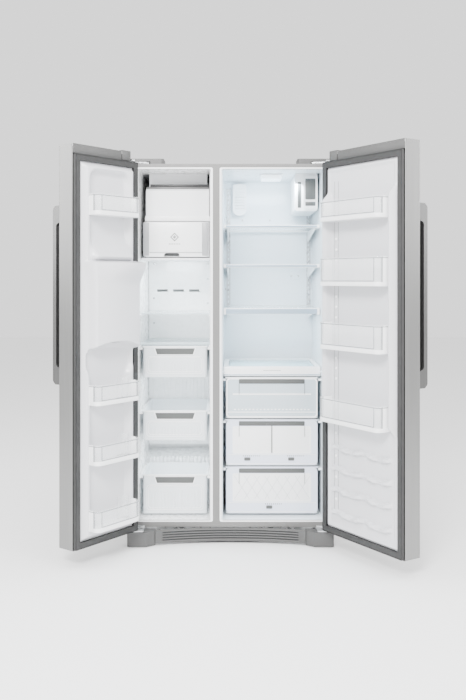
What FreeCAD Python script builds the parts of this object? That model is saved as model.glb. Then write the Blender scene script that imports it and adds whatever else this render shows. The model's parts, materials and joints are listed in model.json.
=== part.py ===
import FreeCAD, Part
import os
import Sketcher

# Side by side refrigerator, millimetres. X runs to the right seen from the front, Y runs back, Z is up.
# The cabinet is drawn about its own centre line with its front plane at y = 0 and the floor at z = 0.
# Each door is drawn shut about its hinge axis, then turned to its stored opening by its Placement.

Vector = FreeCAD.Vector
doc = FreeCAD.newDocument("SideBySideRefrigerator")
sheet = doc.addObject("Spreadsheet::Sheet", "Dims")


class Size:
    """A length that carries the spreadsheet formula it comes from."""

    def __init__(self, value, text):
        self.value = value
        self.text = text

    def __add__(self, other):
        other = size(other)
        return Size(self.value + other.value, f"({self.text} + {other.text})")

    def __radd__(self, other):
        return size(other) + self

    def __sub__(self, other):
        other = size(other)
        return Size(self.value - other.value, f"({self.text} - {other.text})")

    def __rsub__(self, other):
        return size(other) - self

    def __mul__(self, other):
        other = size(other)
        return Size(self.value * other.value, f"({self.text} * {other.text})")

    def __rmul__(self, other):
        return size(other) * self

    def __truediv__(self, other):
        other = size(other)
        return Size(self.value / other.value, f"({self.text} / {other.text})")

    def __neg__(self):
        return size(0) - self

    def __lt__(self, other):
        return self.value < size(other).value


def size(number):
    """Makes a Size of a plain number."""
    if isinstance(number, Size):
        return number
    return Size(float(number), f"({float(number):.4f})")


class Dimensions:
    """The driving dimensions: one spreadsheet cell and alias each."""

    def __init__(self, **cells):
        for row, (alias, number) in enumerate(cells.items(), 1):
            sheet.set(f"B{row}", str(number))
            sheet.setAlias(f"B{row}", alias)
            setattr(self, alias, Size(float(number), f"Dims.{alias}"))


d = Dimensions(
    # whole cabinet
    cab_width=911,
    cab_top=1696,
    cab_back=608,
    sheet_thick=1.5,
    centre_shift_x=-26.451,
    centre_shift_y=-62.785,
    # front frame
    rail_low=72,
    open_low=103,
    open_high=1672,
    frame_thick=2,
    mullion_left=-85,
    mullion_right=-43,
    # compartments, inside the liners
    liner_wall=2.5,
    freezer_left=-414,
    freezer_right=-93,
    fresh_left=-35,
    fresh_right=412,
    room_back=545,
    step_front=360,
    step_back=390,
    step_low=300,
    step_high=330,
    flare=8,
    flare_deep=22,
    # doors
    door_low=77,
    door_high=1732,
    door_thick=84,
    skin=1.2,
    hinge_in=12,
    hinge_out=50,
    door_gap=13,
    freezer_door_width=386.5,
    fresh_door_width=517.5,
    freezer_open=126.8,
    fresh_open=122.4,
    door_round=6,
    gasket_thick=12.6,
    gasket_wide=26,
    gasket_in=14,
    gasket_low=79,
    gasket_high=1691,
    pin_radius=6,
    pin_play=0.06,
    # handles
    handle_low=742,
    handle_high=1486,
    handle_foot=63,
    handle_reach=63,
    handle_wide=22,
    handle_deep=20,
    handle_from_edge=36,
    # door bins and dispenser
    bin_depth=120,
    bin_wall=3,
    bulge_depth=140,
    bulge_low=900,
    bulge_high=1257,
    niche_left=100,
    niche_right=280,
    niche_low=915,
    niche_high=1245,
    # running gear
    pan_low=50,
    pan_thick=3,
    wheel_radius=24,
    axle_radius=4,
    front_axle=110,
    rear_axle=548,
    machine_front=398,
    machine_high=286,
    # inner pieces
    front_line=76,
    shelf_front=110,
    tray_wall=3,
    glass_thick=4,
    fan_radius=58,
)
half = d.cab_width / 2
hinge_x = half - d.hinge_in
inner_face = d.hinge_out - d.door_gap
outer_face = inner_face - d.door_thick

TURNS = {
    "x": FreeCAD.Rotation(Vector(1, 1, 1), 120),
    "y": FreeCAD.Rotation(Vector(1, 0, 0), 90),
    "z": FreeCAD.Rotation(),
}
made = []


def name_of(label):
    """A document-wide name for the next feature."""
    made.append(label)
    return f"{label}_{len(made):03d}"


def bind(item, **fields):
    """Binds properties to formulas; a double underscore stands for a dot."""
    for path, number in fields.items():
        item.setExpression(path.replace("__", "."), size(number).text)


def ordered(first, second):
    """A (low, high) pair of two sizes in either order."""
    first, second = size(first), size(second)
    return (second, first) if second < first else (first, second)


def block(label, x, y, z):
    """Plain box between low and high sizes on each axis."""
    box = doc.addObject("Part::Box", name_of(label))
    (x, y, z) = (ordered(*x), ordered(*y), ordered(*z))
    bind(box, Length=x[1] - x[0], Width=y[1] - y[0], Height=z[1] - z[0])
    bind(box, Placement__Base__x=x[0], Placement__Base__y=y[0], Placement__Base__z=z[0])
    return box


def rod(label, axis, centre, span, radius):
    """Cylinder along an axis; centre gives the two other coordinates in X, Y, Z order."""
    cylinder = doc.addObject("Part::Cylinder", name_of(label))
    span = ordered(*span)
    spot = {"x": (span[0], *centre), "y": (centre[0], span[1], centre[1]), "z": (*centre, span[0])}[axis]
    cylinder.Placement.Rotation = TURNS[axis]
    bind(cylinder, Radius=radius, Height=span[1] - span[0])
    bind(cylinder, Placement__Base__x=spot[0], Placement__Base__y=spot[1], Placement__Base__z=spot[2])
    return cylinder


def round_edges(body, corners, radius):
    """Fillets the pad's long edges that stand on the given outline corners."""
    doc.recompute()
    pad = body.Tip
    picked = []
    for number, edge in enumerate(pad.Shape.Edges, 1):
        start, end = edge.Vertexes[0].Point, edge.Vertexes[-1].Point
        if abs(start.x - end.x) > 0.01 or abs(start.y - end.y) > 0.01:
            continue
        if any(abs(start.x - a.value) < 0.01 and abs(start.y - b.value) < 0.01 for a, b in corners):
            picked.append(f"Edge{number}")
    fillet = body.newObject("PartDesign::Fillet", name_of("fillet"))
    fillet.Base = (pad, picked)
    bind(fillet, Radius=radius)


def plate(label, axis, outline, span, rounds=()):
    """PartDesign body of one padded outline. Its points are the other two axes, in X, Y, Z order.

    rounds lists (corner numbers, radius) pairs for fillets along the pad.
    """
    body = doc.addObject("PartDesign::Body", name_of(label))
    sketch = body.newObject("Sketcher::SketchObject", name_of("sketch"))
    outline = [(size(a), size(b)) for a, b in outline]
    spots = [Vector(a.value, b.value, 0) for a, b in outline]
    for start, end in zip(spots, spots[1:] + spots[:1]):
        sketch.addGeometry(Part.LineSegment(start, end), False)
    for number, (a, b) in enumerate(outline):
        after = (number + 1) % len(outline)
        sketch.addConstraint(Sketcher.Constraint("Coincident", number, 2, after, 1))
        for kind, length in (("DistanceX", a), ("DistanceY", b)):
            held = sketch.addConstraint(Sketcher.Constraint(kind, -1, 1, number, 1, length.value))
            sketch.setExpression(f"Constraints[{held}]", length.text)
    span = ordered(*span)
    pad = body.newObject("PartDesign::Pad", name_of("pad"))
    pad.Profile = sketch
    bind(pad, Length=span[1] - span[0])
    body.Placement.Rotation = TURNS[axis]
    bind(body, **{f"Placement__Base__{axis}": span[1] if axis == "y" else span[0]})
    for numbers, radius in rounds:
        round_edges(body, [outline[n] for n in numbers], radius)
    return body


def slab(label, x, y, z, axis, radius):
    """Box with its four edges along one axis rounded."""
    sides = {"x": ordered(*x), "y": ordered(*y), "z": ordered(*z)}
    span = sides.pop(axis)
    (left, right), (low, high) = sides.values()
    outline = [(left, low), (right, low), (right, high), (left, high)]
    return plate(label, axis, outline, span, [(range(4), radius)])


def fuse(label, *pieces):
    """One solid of several pieces."""
    if len(pieces) == 1:
        return pieces[0]
    union = doc.addObject("Part::MultiFuse", name_of(label))
    union.Shapes = list(pieces)
    union.Refine = True
    return union


def cut(label, base, *tools):
    """The base less every tool."""
    result = doc.addObject("Part::Cut", name_of(label))
    result.Base = base
    result.Tool = fuse(label + "_tool", *tools)
    result.Refine = True
    return result


def tray(label, x, y, z, wall, radius, floor=None):
    """Open-topped box with rounded upright corners."""
    floor = wall if floor is None else floor
    (x, y, z) = (ordered(*x), ordered(*y), ordered(*z))
    inner_x = (x[0] + wall, x[1] - wall)
    inner_y = (y[0] + wall, y[1] - wall)
    outer = slab(label, x, y, z, "z", radius)
    return cut(
        label,
        outer,
        slab(label, inner_x, inner_y, (z[0] + floor, z[1] + 1), "z", size(radius) - wall),
    )


def row(count, first, step):
    """Evenly spaced sizes."""
    return [size(first) + size(step) * n for n in range(count)]


nodes = []
groups = {
    "cabinet": (size(0), size(0), size(0)),
    "freezer_door": (-hinge_x, -d.hinge_out, -d.freezer_open),
    "fresh_door": (hinge_x, -d.hinge_out, d.fresh_open),
}


def node(label, group, *pieces):
    """A finished sub-part: its pieces under one Label and one Placement."""
    item = doc.addObject("Part::Compound", name_of(label))
    item.Links = list(pieces)
    item.Label = label
    item.Placement = FreeCAD.Placement(Vector(0, 0, 0), FreeCAD.Rotation(Vector(0, 0, 1), 0.001))
    x, y, angle = groups[group]
    bind(item, Placement__Base__x=x + d.centre_shift_x, Placement__Base__y=y + d.centre_shift_y)
    if angle.value:
        bind(item, Placement__Rotation__Angle=angle)
    else:
        item.Placement.Rotation = FreeCAD.Rotation()
    nodes.append(item)


# ---------------------------------------------------------------- cabinet box
def room_outline(grow):
    """Side outline of a compartment: a box with a sloped step over the machine space."""
    return [
        (d.frame_thick, d.open_low - grow),
        (d.step_front + grow, d.open_low - grow),
        (d.step_back + grow, d.step_low - grow),
        (d.room_back + grow, d.step_high - grow),
        (d.room_back + grow, d.open_high + grow),
        (d.frame_thick, d.open_high + grow),
    ]


def room_solid(label, left, right, grow, flare_left, flare_right):
    """Filled compartment, with the wider mouth at its front."""
    main = plate(label, "x", room_outline(grow), (left - grow, right + grow), [((1, 2, 3, 4), 18)])
    mouth = block(
        label,
        (left - grow - flare_left, right + grow + flare_right),
        (d.frame_thick, d.flare_deep + grow),
        (d.open_low - grow, d.open_high + grow),
    )
    return fuse(label, main, mouth)


def ledges(label, left, right, reach, top, back):
    """A pair of runner ledges on the side walls."""
    deep = (d.front_line - 8, back)
    pair = []
    for side in ((left - 1, left + reach), (right - reach, right + 1)):
        pair.append(slab(label, side, deep, (top - 9, top), "x", 2.5))
    return pair


node(
    "cabinet_shell",
    "cabinet",
    cut(
        "cabinet_shell",
        slab("wrapper", (-half, half), (0, d.cab_back - 2), (28, d.cab_top), "y", 4),
        block(
            "hollow",
            (-half + d.sheet_thick, half - d.sheet_thick),
            (-1, d.cab_back),
            (20, d.cab_top - d.sheet_thick),
        ),
    ),
)
node(
    "back_panel",
    "cabinet",
    slab(
        "back_panel",
        (-half + 2, half - 2),
        (d.cab_back - 2, d.cab_back),
        (d.machine_high + 2, d.cab_top - 3),
        "y",
        3,
    ),
)
freezer = (d.freezer_left, d.freezer_right)
fresh = (d.fresh_left, d.fresh_right)
freezer_flare = (size(2), d.flare)
fresh_flare = (d.flare, size(4))

freezer_baskets = {
    "basket_upper": (733, 874, 490),
    "basket_middle": (446, 580, 490),
    "basket_lower": (112, 288, 350),
}
crispers = {
    "crisper_upper": (546, 732, 480),
    "crisper_middle": (331, 540, 480),
    "crisper_lower": (112, 325, 348),
}
rim_thick = 5

freezer_ledges = []
for low, high, back in freezer_baskets.values():
    freezer_ledges += ledges("freezer_ledge", *freezer, 12.5, size(high - rim_thick) - 0.4, back)
for top in (1018, 878):
    freezer_ledges += ledges("freezer_ledge", *freezer, 7, size(top) - 0.1, 500)
node(
    "freezer_liner",
    "cabinet",
    fuse(
        "freezer_liner",
        cut(
            "freezer_liner",
            room_solid("freezer_outside", *freezer, d.liner_wall, *freezer_flare),
            room_solid("freezer_inside", *freezer, size(0), *freezer_flare),
            block(
                "mouth_clear",
                (d.freezer_left - 2, d.freezer_right + d.flare),
                (0, 3),
                (d.open_low, d.open_high),
            ),
        ),
        *freezer_ledges,
    ),
)
fresh_ledges = []
for low, high, back in crispers.values():
    fresh_ledges += ledges("fresh_ledge", *fresh, 12.5, size(high - rim_thick) - 0.4, back)
fresh_ledges += ledges("fresh_ledge", *fresh, 9, size(763.9), 480)
node(
    "fresh_food_liner",
    "cabinet",
    fuse(
        "fresh_food_liner",
        cut(
            "fresh_food_liner",
            room_solid("fresh_outside", *fresh, d.liner_wall, *fresh_flare),
            room_solid("fresh_inside", *fresh, size(0), *fresh_flare),
            block(
                "mouth_clear",
                (d.fresh_left - d.flare, d.fresh_right + 4),
                (0, 3),
                (d.open_low, d.open_high),
            ),
        ),
        *fresh_ledges,
    ),
)
node(
    "front_frame",
    "cabinet",
    cut(
        "front_frame",
        block("frame", (-half + 1.6, half - 1.6), (0, d.frame_thick), (d.rail_low, d.cab_top - 1.6)),
        block("hole", (d.freezer_left - 2, d.mullion_left), (-1, 3), (d.open_low, d.open_high)),
        block("hole", (d.mullion_right, d.fresh_right + 4), (-1, 3), (d.open_low, d.open_high)),
    ),
)
node(
    "foam_insulation",
    "cabinet",
    cut(
        "foam_insulation",
        block(
            "foam",
            (-half + 2, half - 2),
            (d.frame_thick + 0.1, d.cab_back - 2.1),
            (56, d.cab_top - 2),
        ),
        room_solid("freezer_outside", *freezer, d.liner_wall + 0.1, *freezer_flare),
        room_solid("fresh_outside", *fresh, d.liner_wall + 0.1, *fresh_flare),
        block("machine_space", (-half, half), (d.machine_front, d.cab_back), (40, d.machine_high)),
        block("lip_space", (-half, half), (0, 6.1), (40, 92.1)),
    ),
)

# ---------------------------------------------------------------- base and running gear
pan_top = d.pan_low + d.pan_thick


def axle_ear(side, y):
    """Two lugs that hold the axle beside one wheel."""
    middle = side * 350
    lugs = []
    for offset in (-15, 12):
        lug = block(
            "lug",
            (middle + offset, middle + offset + 3),
            (y - 14, y + 14),
            (d.wheel_radius - 12, d.pan_low + 1),
        )
        lugs.append(lug)
    return lugs


ears = [lug for y in (d.front_axle, d.rear_axle) for side in (-1, 1) for lug in axle_ear(side, y)]
axle_holes = [
    rod("axle_hole", "x", (y, d.wheel_radius), (-380, 380), d.axle_radius + 0.05)
    for y in (d.front_axle, d.rear_axle)
]
skirt_out = half - 2.5
node(
    "base_pan",
    "cabinet",
    cut(
        "base_pan",
        fuse(
            "base_pan",
            block("deck", (-skirt_out, skirt_out), (6, d.cab_back - 4), (d.pan_low, pan_top)),
            block("skirt", (-skirt_out, -skirt_out + 3), (6, d.cab_back - 4), (26, d.pan_low + 1)),
            block("skirt", (skirt_out - 3, skirt_out), (6, d.cab_back - 4), (26, d.pan_low + 1)),
            block("front_lip", (-skirt_out, skirt_out), (3, 6), (d.pan_low, d.rail_low + 20)),
            block(
                "rear_lip",
                (-skirt_out, skirt_out),
                (d.cab_back - 7, d.cab_back - 4),
                (26, d.pan_low + 1),
            ),
            *ears,
        ),
        *axle_holes,
        rod("tie_hole", "y", (-150, 38), (d.cab_back - 10, d.cab_back), 3.5),
        rod("tie_hole", "y", (150, 38), (d.cab_back - 10, d.cab_back), 3.5),
        rod("leg_hole", "z", (-400, 36), (40, 60), 8.3),
        rod("leg_hole", "z", (400, 36), (40, 60), 8.3),
    ),
)


def roller_pair(label, y):
    """Two wheels on one through axle."""
    wheels = []
    for side in (-1, 1):
        middle = side * size(350)
        rim = rod("rim", "x", (y, d.wheel_radius), (middle - 10, middle + 10), d.wheel_radius)
        dish = [
            rod(
                "dish",
                "x",
                (y, d.wheel_radius),
                ordered(middle + face * 6, middle + face * 11),
                d.wheel_radius - 6,
            )
            for face in (-1, 1)
        ]
        wheels.append(cut("wheel", rim, *dish))
    axle = rod("axle", "x", (y, d.wheel_radius), (-372, 372), d.axle_radius)
    node(label, "cabinet", fuse(label, *wheels, axle))


roller_pair("front_rollers", d.front_axle)
roller_pair("rear_rollers", d.rear_axle)


def leg(side):
    """Threaded levelling leg with a hexagon and a round pad."""
    x = side * size(400)
    return fuse(
        "leg",
        rod("pad", "z", (x, 36), (0, 6), 19),
        rod("hexagon", "z", (x, 36), (6, 16), 12),
        rod("stem", "z", (x, 36), (16, 55.8), 8),
    )


node("leveling_legs", "cabinet", leg(-1), leg(1))


def foot_cover(side):
    """Corner cover that stands forward below the hinge, with a rounded nose."""
    outer, inner = side * half, side * (half - 122)
    body = plate(
        "foot_cover",
        "z",
        [(outer, -4), (inner, -4), (inner, -42), (side * (half - 84), -70), (outer, -70)],
        (3, 65),
        [((4,), 8), ((3,), 6)],
    )
    inside = block("inside", ordered(outer - side * 4, side * (half - 92)), (-64, -3), (-1, 61))
    return cut("foot_cover", body, inside)


node("foot_covers", "cabinet", foot_cover(-1), foot_cover(1))

# The toe grille bows back at its middle on a parabola between the two foot covers.
grille_half, grille_bow, grille_steps = 332, 42, 8
bow_x = [grille_half * n / grille_steps for n in range(-grille_steps, grille_steps + 1)]
bow = [(x, -grille_bow * (x / grille_half) ** 2) for x in bow_x]
grille_face = [(x, y - 4) for x, y in bow]
grille_back = [(x, y) for x, y in reversed(bow)]
grille_body = plate("base_grille", "z", grille_face + grille_back, (10, 70))
grille_slots = [
    block("slot", (x, x + 128), (-60, 20), (z, z + 5))
    for z in (22, 33, 44, 55)
    for x in (-300, -142, 14, 172)
]
node("base_grille", "cabinet", cut("base_grille", grille_body, *grille_slots))


# ---------------------------------------------------------------- hinges
def top_hinge(side):
    """Steel arm from the cabinet top over the door's notch, with its pin down."""
    x = side * hinge_x
    arm = plate(
        "hinge_arm",
        "z",
        [
            (x - side * 14, -64),
            (x + side * 0, -64),
            (x + side * 0, 4),
            (x + side * 4, 12),
            (x + side * 4, 96),
            (x - side * 78, 96),
            (x - side * 78, 12),
            (x - side * 22, 4),
            (x - side * 22, -64),
        ],
        (d.cab_top + 4, d.cab_top + 10),
    )
    eye = rod("hinge_eye", "z", (x, -d.hinge_out), (d.cab_top + 4, d.cab_top + 10), 14)
    pad = block("hinge_pad", ordered(x + side * 4, x - side * 78), (14, 94), (d.cab_top, d.cab_top + 5))
    pin = rod("hinge_pin", "z", (x, -d.hinge_out), (d.cab_top - 36, d.cab_top + 5), d.pin_radius)
    return fuse("top_hinge", arm, eye, pad, pin)


node("top_hinges", "cabinet", top_hinge(-1), top_hinge(1))


def hinge_cover(side):
    """Moulded cap over the hinge plate on the cabinet top."""
    outer, inner = side * (half - 4), side * size(300)
    shell = slab(
        "hinge_cover",
        ordered(outer, inner),
        (6, 118),
        (d.cab_top + 0.2, d.cab_top + 24),
        "z",
        12,
    )
    inside = block(
        "inside",
        ordered(outer - side * 3, side * (hinge_x - 84)),
        (-1, 106),
        (d.cab_top - 1, d.cab_top + 12),
    )
    screw = rod("screw_well", "z", (side * 330, 62), (d.cab_top + 16, d.cab_top + 30), 6)
    return cut("hinge_cover", shell, inside, screw)


node("hinge_covers", "cabinet", hinge_cover(-1), hinge_cover(1))


def bottom_hinge(side):
    """Shelf bracket under the door, with its pin up."""
    x = side * hinge_x
    shelf = slab("hinge_shelf", ordered(x + side * 10, x - side * 60), (-66, 0), (67, 72), "z", 4)
    upright = block("hinge_leaf", ordered(x + side * 10, x - side * 60), (-3, -0.2), (67, 78))
    pin = rod("hinge_pin", "z", (x, -d.hinge_out), (70, d.door_low + 30), d.pin_radius)
    washer = rod("washer", "z", (x, -d.hinge_out), (71, d.door_low - 0.3), 10)
    return fuse("bottom_hinge", shelf, upright, pin, washer)


node("bottom_hinges", "cabinet", bottom_hinge(-1), bottom_hinge(1))

# ---------------------------------------------------------------- machine space
dome = slab("dome", (-345, -185), (430, 560), (74, 206), "z", 60)
node(
    "compressor",
    "cabinet",
    fuse(
        "compressor",
        dome,
        slab("seam", (-349, -181), (426, 564), (138, 144), "z", 62),
        block("foot_plate", (-360, -170), (440, 550), (66, 75)),
        rod("mount", "z", (-350, 452), (pan_top, 67), 9),
        rod("mount", "z", (-350, 538), (pan_top, 67), 9),
        rod("mount", "z", (-180, 452), (pan_top, 67), 9),
        rod("mount", "z", (-180, 538), (pan_top, 67), 9),
        slab("terminal_box", (-186, -160), (470, 530), (100, 176), "z", 4),
        rod("stub", "z", (-300, 470), (200, 240), 5),
        rod("stub", "z", (-240, 520), (200, 232), 4),
    ),
)
coil_x = (40, 250)
coil_fins = [block("fin", (x, x + 1.5), (430, 570), (78, 220)) for x in row(22, coil_x[0] + 6, 9.4)]
coil_tubes = [
    rod("tube", "x", (y, z), coil_x, 4) for y in (450, 500, 550) for z in (96, 130, 164, 198)
]
node("condenser_coil", "cabinet", fuse("condenser_coil", *coil_fins, *coil_tubes))
fan_y, fan_z = size(500), size(150)
node(
    "fan_shroud",
    "cabinet",
    fuse(
        "fan_shroud",
        cut(
            "fan_shroud",
            slab("shroud", (-30, -24), (404, 598), (pan_top, 282), "x", 6),
            rod("bore", "x", (fan_y, fan_z), (-40, -10), d.fan_radius + 5),
        ),
        block("spoke", (-24, -18), (fan_y - 80, fan_y + 80), (fan_z - 5, fan_z + 5)),
        block("spoke", (-24, -18), (fan_y - 5, fan_y + 5), (fan_z - 80, fan_z + 80)),
        rod("motor", "x", (fan_y, fan_z), (-24, 14), 26),
        rod("shaft", "x", (fan_y, fan_z), (-58, -20), 3),
    ),
)


def fan(label, axis, centre, span):
    """Hub with four pitched blades, bored for its shaft."""
    middle = (span[0] + span[1]) / 2
    hub = rod("hub", axis, centre, span, 15)
    bore = rod("bore", axis, centre, (span[0] - 5, span[1] + 5), 3.05)
    blades = []
    for quarter in range(4):
        blade = doc.addObject("Part::Box", name_of("blade"))
        bind(blade, Length=d.fan_radius - 10, Width=22, Height=2)
        turn = FreeCAD.Rotation(Vector(0, 0, 1), 90 * quarter)
        pitch = FreeCAD.Rotation(Vector(1, 0, 0), 28)
        place = FreeCAD.Placement(Vector(0, 0, 0), TURNS[axis] * turn)
        blade.Placement = place * FreeCAD.Placement(Vector(10, -9.2, -6), pitch)
        spot = blade.Placement.Base
        home = {"x": (middle, *centre), "y": (centre[0], middle, centre[1])}[axis]
        bind(
            blade,
            Placement__Base__x=home[0] + spot.x,
            Placement__Base__y=home[1] + spot.y,
            Placement__Base__z=home[2] + spot.z,
        )
        blades.append(blade)
    node(label, "cabinet", cut(label, fuse(label, hub, *blades), bore))


fan("condenser_fan", "x", (fan_y, fan_z), (size(-54), size(-36)))
node("drain_pan", "cabinet", tray("drain_pan", (30, 262), (412, 590), (pan_top + 1, pan_top + 19), 2, 10))
valve_x, valve_z = size(340), size(140)
node(
    "water_valve",
    "cabinet",
    fuse(
        "water_valve",
        slab("valve_body", (valve_x - 24, valve_x + 24), (548, 600), (120, 160), "y", 6),
        slab("solenoid", (valve_x - 20, valve_x + 20), (552, 590), (158, 196), "z", 8),
        block("valve_foot", (valve_x - 30, valve_x + 30), (556, 592), (112, 121)),
        block("valve_stem", (valve_x - 14, valve_x + 14), (566, 582), (pan_top, 113)),
        rod("inlet", "y", (valve_x, valve_z), (598, 626), 9.5),
        rod("nut", "y", (valve_x, valve_z), (598, 604), 14),
    ),
)
cover_slots = [
    block("slot", (x, x + 70), (590, 620), (z, z + 5))
    for x in (-400, -310, -220, -60, 40, 130)
    for z in (90, 106, 122, 138, 200, 216, 232)
]
node(
    "rear_access_cover",
    "cabinet",
    cut(
        "rear_access_cover",
        fuse(
            "rear_access_cover",
            slab(
                "cover",
                (-half + 4, half - 4),
                (d.cab_back - 2, d.cab_back),
                (46, d.machine_high),
                "y",
                4,
            ),
            rod("gland", "y", (-130, 70), (d.cab_back - 10, d.cab_back + 8), 11),
        ),
        *cover_slots,
        rod("valve_hole", "y", (valve_x, valve_z), (590, 620), 18),
        rod("gland_bore", "y", (-130, 70), (590, 630), 5),
    ),
)

# ---------------------------------------------------------------- freezer compartment
fan2_x, fan2_z = size(-253), size(1540)
grid_slots = [block("vent", (x, x + 54), (480, 520), (1117, 1123)) for x in (-371, -290, -209)]
node(
    "evaporator_cover",
    "cabinet",
    cut(
        "evaporator_cover",
        slab("cover", (-412, -95), (500, 505), (350, 1664), "y", 8),
        *grid_slots,
        rod("fan_mouth", "y", (fan2_x, fan2_z), (480, 520), 50),
    ),
)
evap_fins = [block("fin", (x, x + 1.5), (512, 541), (520, 980)) for x in row(26, -385, 10.4)]
evap_tubes = [rod("tube", "x", (527, z), (-392, -116), 5) for z in row(9, 545, 52)]
node(
    "evaporator",
    "cabinet",
    fuse("evaporator", *evap_fins, *evap_tubes),
    fuse(
        "evaporator_motor",
        slab("bracket", (-330, -176), (540, 544.6), (fan2_z - 12, fan2_z + 12), "y", 4),
        rod("motor", "y", (fan2_x, fan2_z), (531, 541), 20),
        rod("shaft", "y", (fan2_x, fan2_z), (510, 535), 3),
    ),
)
fan("evaporator_fan", "y", (fan2_x, fan2_z), (size(513), size(527)))
ice_left, ice_right = size(-388), size(-99)
node(
    "ice_maker",
    "cabinet",
    fuse(
        "ice_maker",
        tray("mould", (-380, -150), (150, 250), (1500, 1560), 4, 12),
        slab("gearbox", (-152, -106), (146, 260), (1480, 1600), "y", 6),
        block("hanger", (-380, -110), (180, 220), (1598, 1671.8)),
        block("hanger_arm", (-380, -370), (180, 220), (1540, 1600)),
        block("hanger_arm", (-160, -130), (180, 220), (1590, 1600)),
    ),
    fuse(
        "bin_carriage",
        slab("carriage", (-411, -96), (112, 470), (1270, 1278), "z", 6),
        slab("auger_motor", (-320, -190), (440, 498), (1276, 1400), "y", 10),
    ),
)
ice_cover_outline = [
    (120, 1452),
    (330, 1452),
    (330, 1456),
    (126, 1456),
    (126, 1612),
    (400, 1640),
    (400, 1644),
    (120, 1616),
]
node(
    "ice_maker_cover",
    "cabinet",
    fuse(
        "ice_maker_cover",
        cut(
            "cover",
            plate("cover", "x", ice_cover_outline, (ice_left, ice_right)),
            block("hanger_gap", (-384, -106), (176, 224), (1600, 1660)),
        ),
        block("cheek", (ice_left, ice_left + 3), (124, 330), (1452, 1614)),
        block("cheek", (ice_right - 3, ice_right), (124, 330), (1452, 1614)),
    ),
)
ice_bin_box = tray("ice_bin", (-399, -98), (100, 428), (1283, 1443), 4, 26)
notch = slab("finger_notch", (-305, -235), (90, 132), (1270, 1300), "y", 10)
node("ice_bin", "cabinet", cut("ice_bin", ice_bin_box, notch))
node(
    "freezer_shelf",
    "cabinet",
    fuse(
        "freezer_shelf",
        slab("glass", (-410, -97), (104, 490), (1018, 1024), "z", 6),
        slab("nosing", (-410, -97), (98, 108), (1018, 1027), "x", 3),
    ),
)
node(
    "basket_cover",
    "cabinet",
    fuse(
        "basket_cover",
        slab("glass", (-410, -97), (d.front_line + 4, 490), (878, 884), "z", 6),
        slab("nosing", (-410, -97), (d.front_line - 2, d.front_line + 8), (878, 893), "x", 3),
    ),
)


def pull_out(label, x, z, back, side_reach, grip):
    """Open drawer with a top rim that runs on the wall ledges and a grip recess in its front."""
    low, high = z
    body = tray(label, x, (d.front_line, back - 2), (low, high), d.tray_wall, 14)
    rims = [
        block(
            "rim",
            ordered(edge, edge + out * side_reach),
            (d.front_line + 6, back - 4),
            (high - rim_thick, high),
        )
        for edge, out in ((size(x[0]) + 1, -1), (size(x[1]) - 1, 1))
    ]
    middle = (size(x[0]) + x[1]) / 2
    lip = slab(
        "grip",
        (middle - grip, middle + grip),
        (d.front_line + 1, d.front_line + 20),
        (high - 26, high - 2),
        "x",
        6,
    )
    hollow = slab(
        "grip_hollow",
        (middle - grip + 3, middle + grip - 3),
        (d.front_line - 1, d.front_line + 17),
        (high - 30, high - 6),
        "x",
        5,
    )
    return cut(label, fuse(label, body, *rims, lip), hollow)


for label, (low, high, back) in freezer_baskets.items():
    node(label, "cabinet", pull_out(label, (-399, -108), (low, high), back, 6, 72))

# ---------------------------------------------------------------- fresh food compartment
track_slots = [
    block("slot", (x, x + 6), (536, 550), (z, z + 12))
    for x in (-15, 392)
    for z in row(24, 1060, 24)
]
node(
    "shelf_tracks",
    "cabinet",
    cut(
        "shelf_tracks",
        fuse(
            "track_pair",
            slab("track", (-22, -2), (541, 544.9), (1044, 1640), "y", 3),
            slab("track", (385, 405), (541, 544.9), (1044, 1640), "y", 3),
            block("bridge", (-3, 386), (543, 544.9), (1044, 1048)),
        ),
        *track_slots,
    ),
)
shelf_tops = {"upper": (1428, 11), "middle": (1247, 12), "lower": (1046, 27)}


def shelf_frame(top, nosing):
    """Front nosing, side rails and two cantilever brackets of one glass shelf."""
    side = (d.shelf_front + 4, 520)
    brackets = [
        plate(
            "bracket",
            "x",
            [(150, top - 16), (540.6, top - 46), (540.6, top - 6.2), (150, top - 6.2)],
            (x, x + 3),
        )
        for x in (-13, 391)
    ]
    return fuse(
        "shelf_frame",
        slab(
            "nosing",
            (-31, 407),
            (d.shelf_front - 6, d.shelf_front + 6),
            (top - nosing, top + 1),
            "x",
            3,
        ),
        block("side_rail", (-31, -19), side, (top - 10, top - d.glass_thick - 0.1)),
        block("side_rail", (395, 407), side, (top - 10, top - d.glass_thick - 0.1)),
        block("side_rail", (-20, -9), (140, 520), (top - 10, top - 6.2)),
        block("side_rail", (390, 396), (140, 520), (top - 10, top - 6.2)),
        slab("rear_rail", (-31, 407), (516, 526), (top - 10, top + 1), "x", 3),
        *brackets,
    )


def shelf_pane(top):
    """Glass pane that rests inside its frame."""
    return slab("pane", (-30, 406), (d.shelf_front + 6.2, 515.8), (top - d.glass_thick, top), "z", 4)


node("shelf_frames", "cabinet", *[shelf_frame(size(top), nosing) for top, nosing in shelf_tops.values()])
node("shelf_glass", "cabinet", *[shelf_pane(size(top)) for top, nosing in shelf_tops.values()])
node("light_lens", "cabinet", slab("light_lens", (146, 236), (170, 300), (1650, 1671.8), "z", 12))
duct = plate(
    "duct_cover",
    "y",
    [(12, 1503), (77, 1503), (77, 1658), (12, 1658)],
    (505, 544.2),
    [((0, 1), 26), ((2, 3), 4)],
)
duct_slots = [block("vent", (20, 69), (490, 512), (z, z + 5)) for z in row(8, 1534, 14)]
node("duct_cover", "cabinet", cut("duct_cover", duct, *duct_slots))
housing_outer = slab("filter_housing", (300, 404), (158, 500), (1498, 1671.8), "y", 10)
housing_hollow = block("socket", (342, 394), (150, 470), (1512, 1640))
node(
    "filter_housing",
    "cabinet",
    fuse(
        "filter_housing",
        cut("filter_housing", housing_outer, housing_hollow),
        rod("cartridge", "y", (368, 1576), (200, 480), 24),
    ),
)
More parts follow.
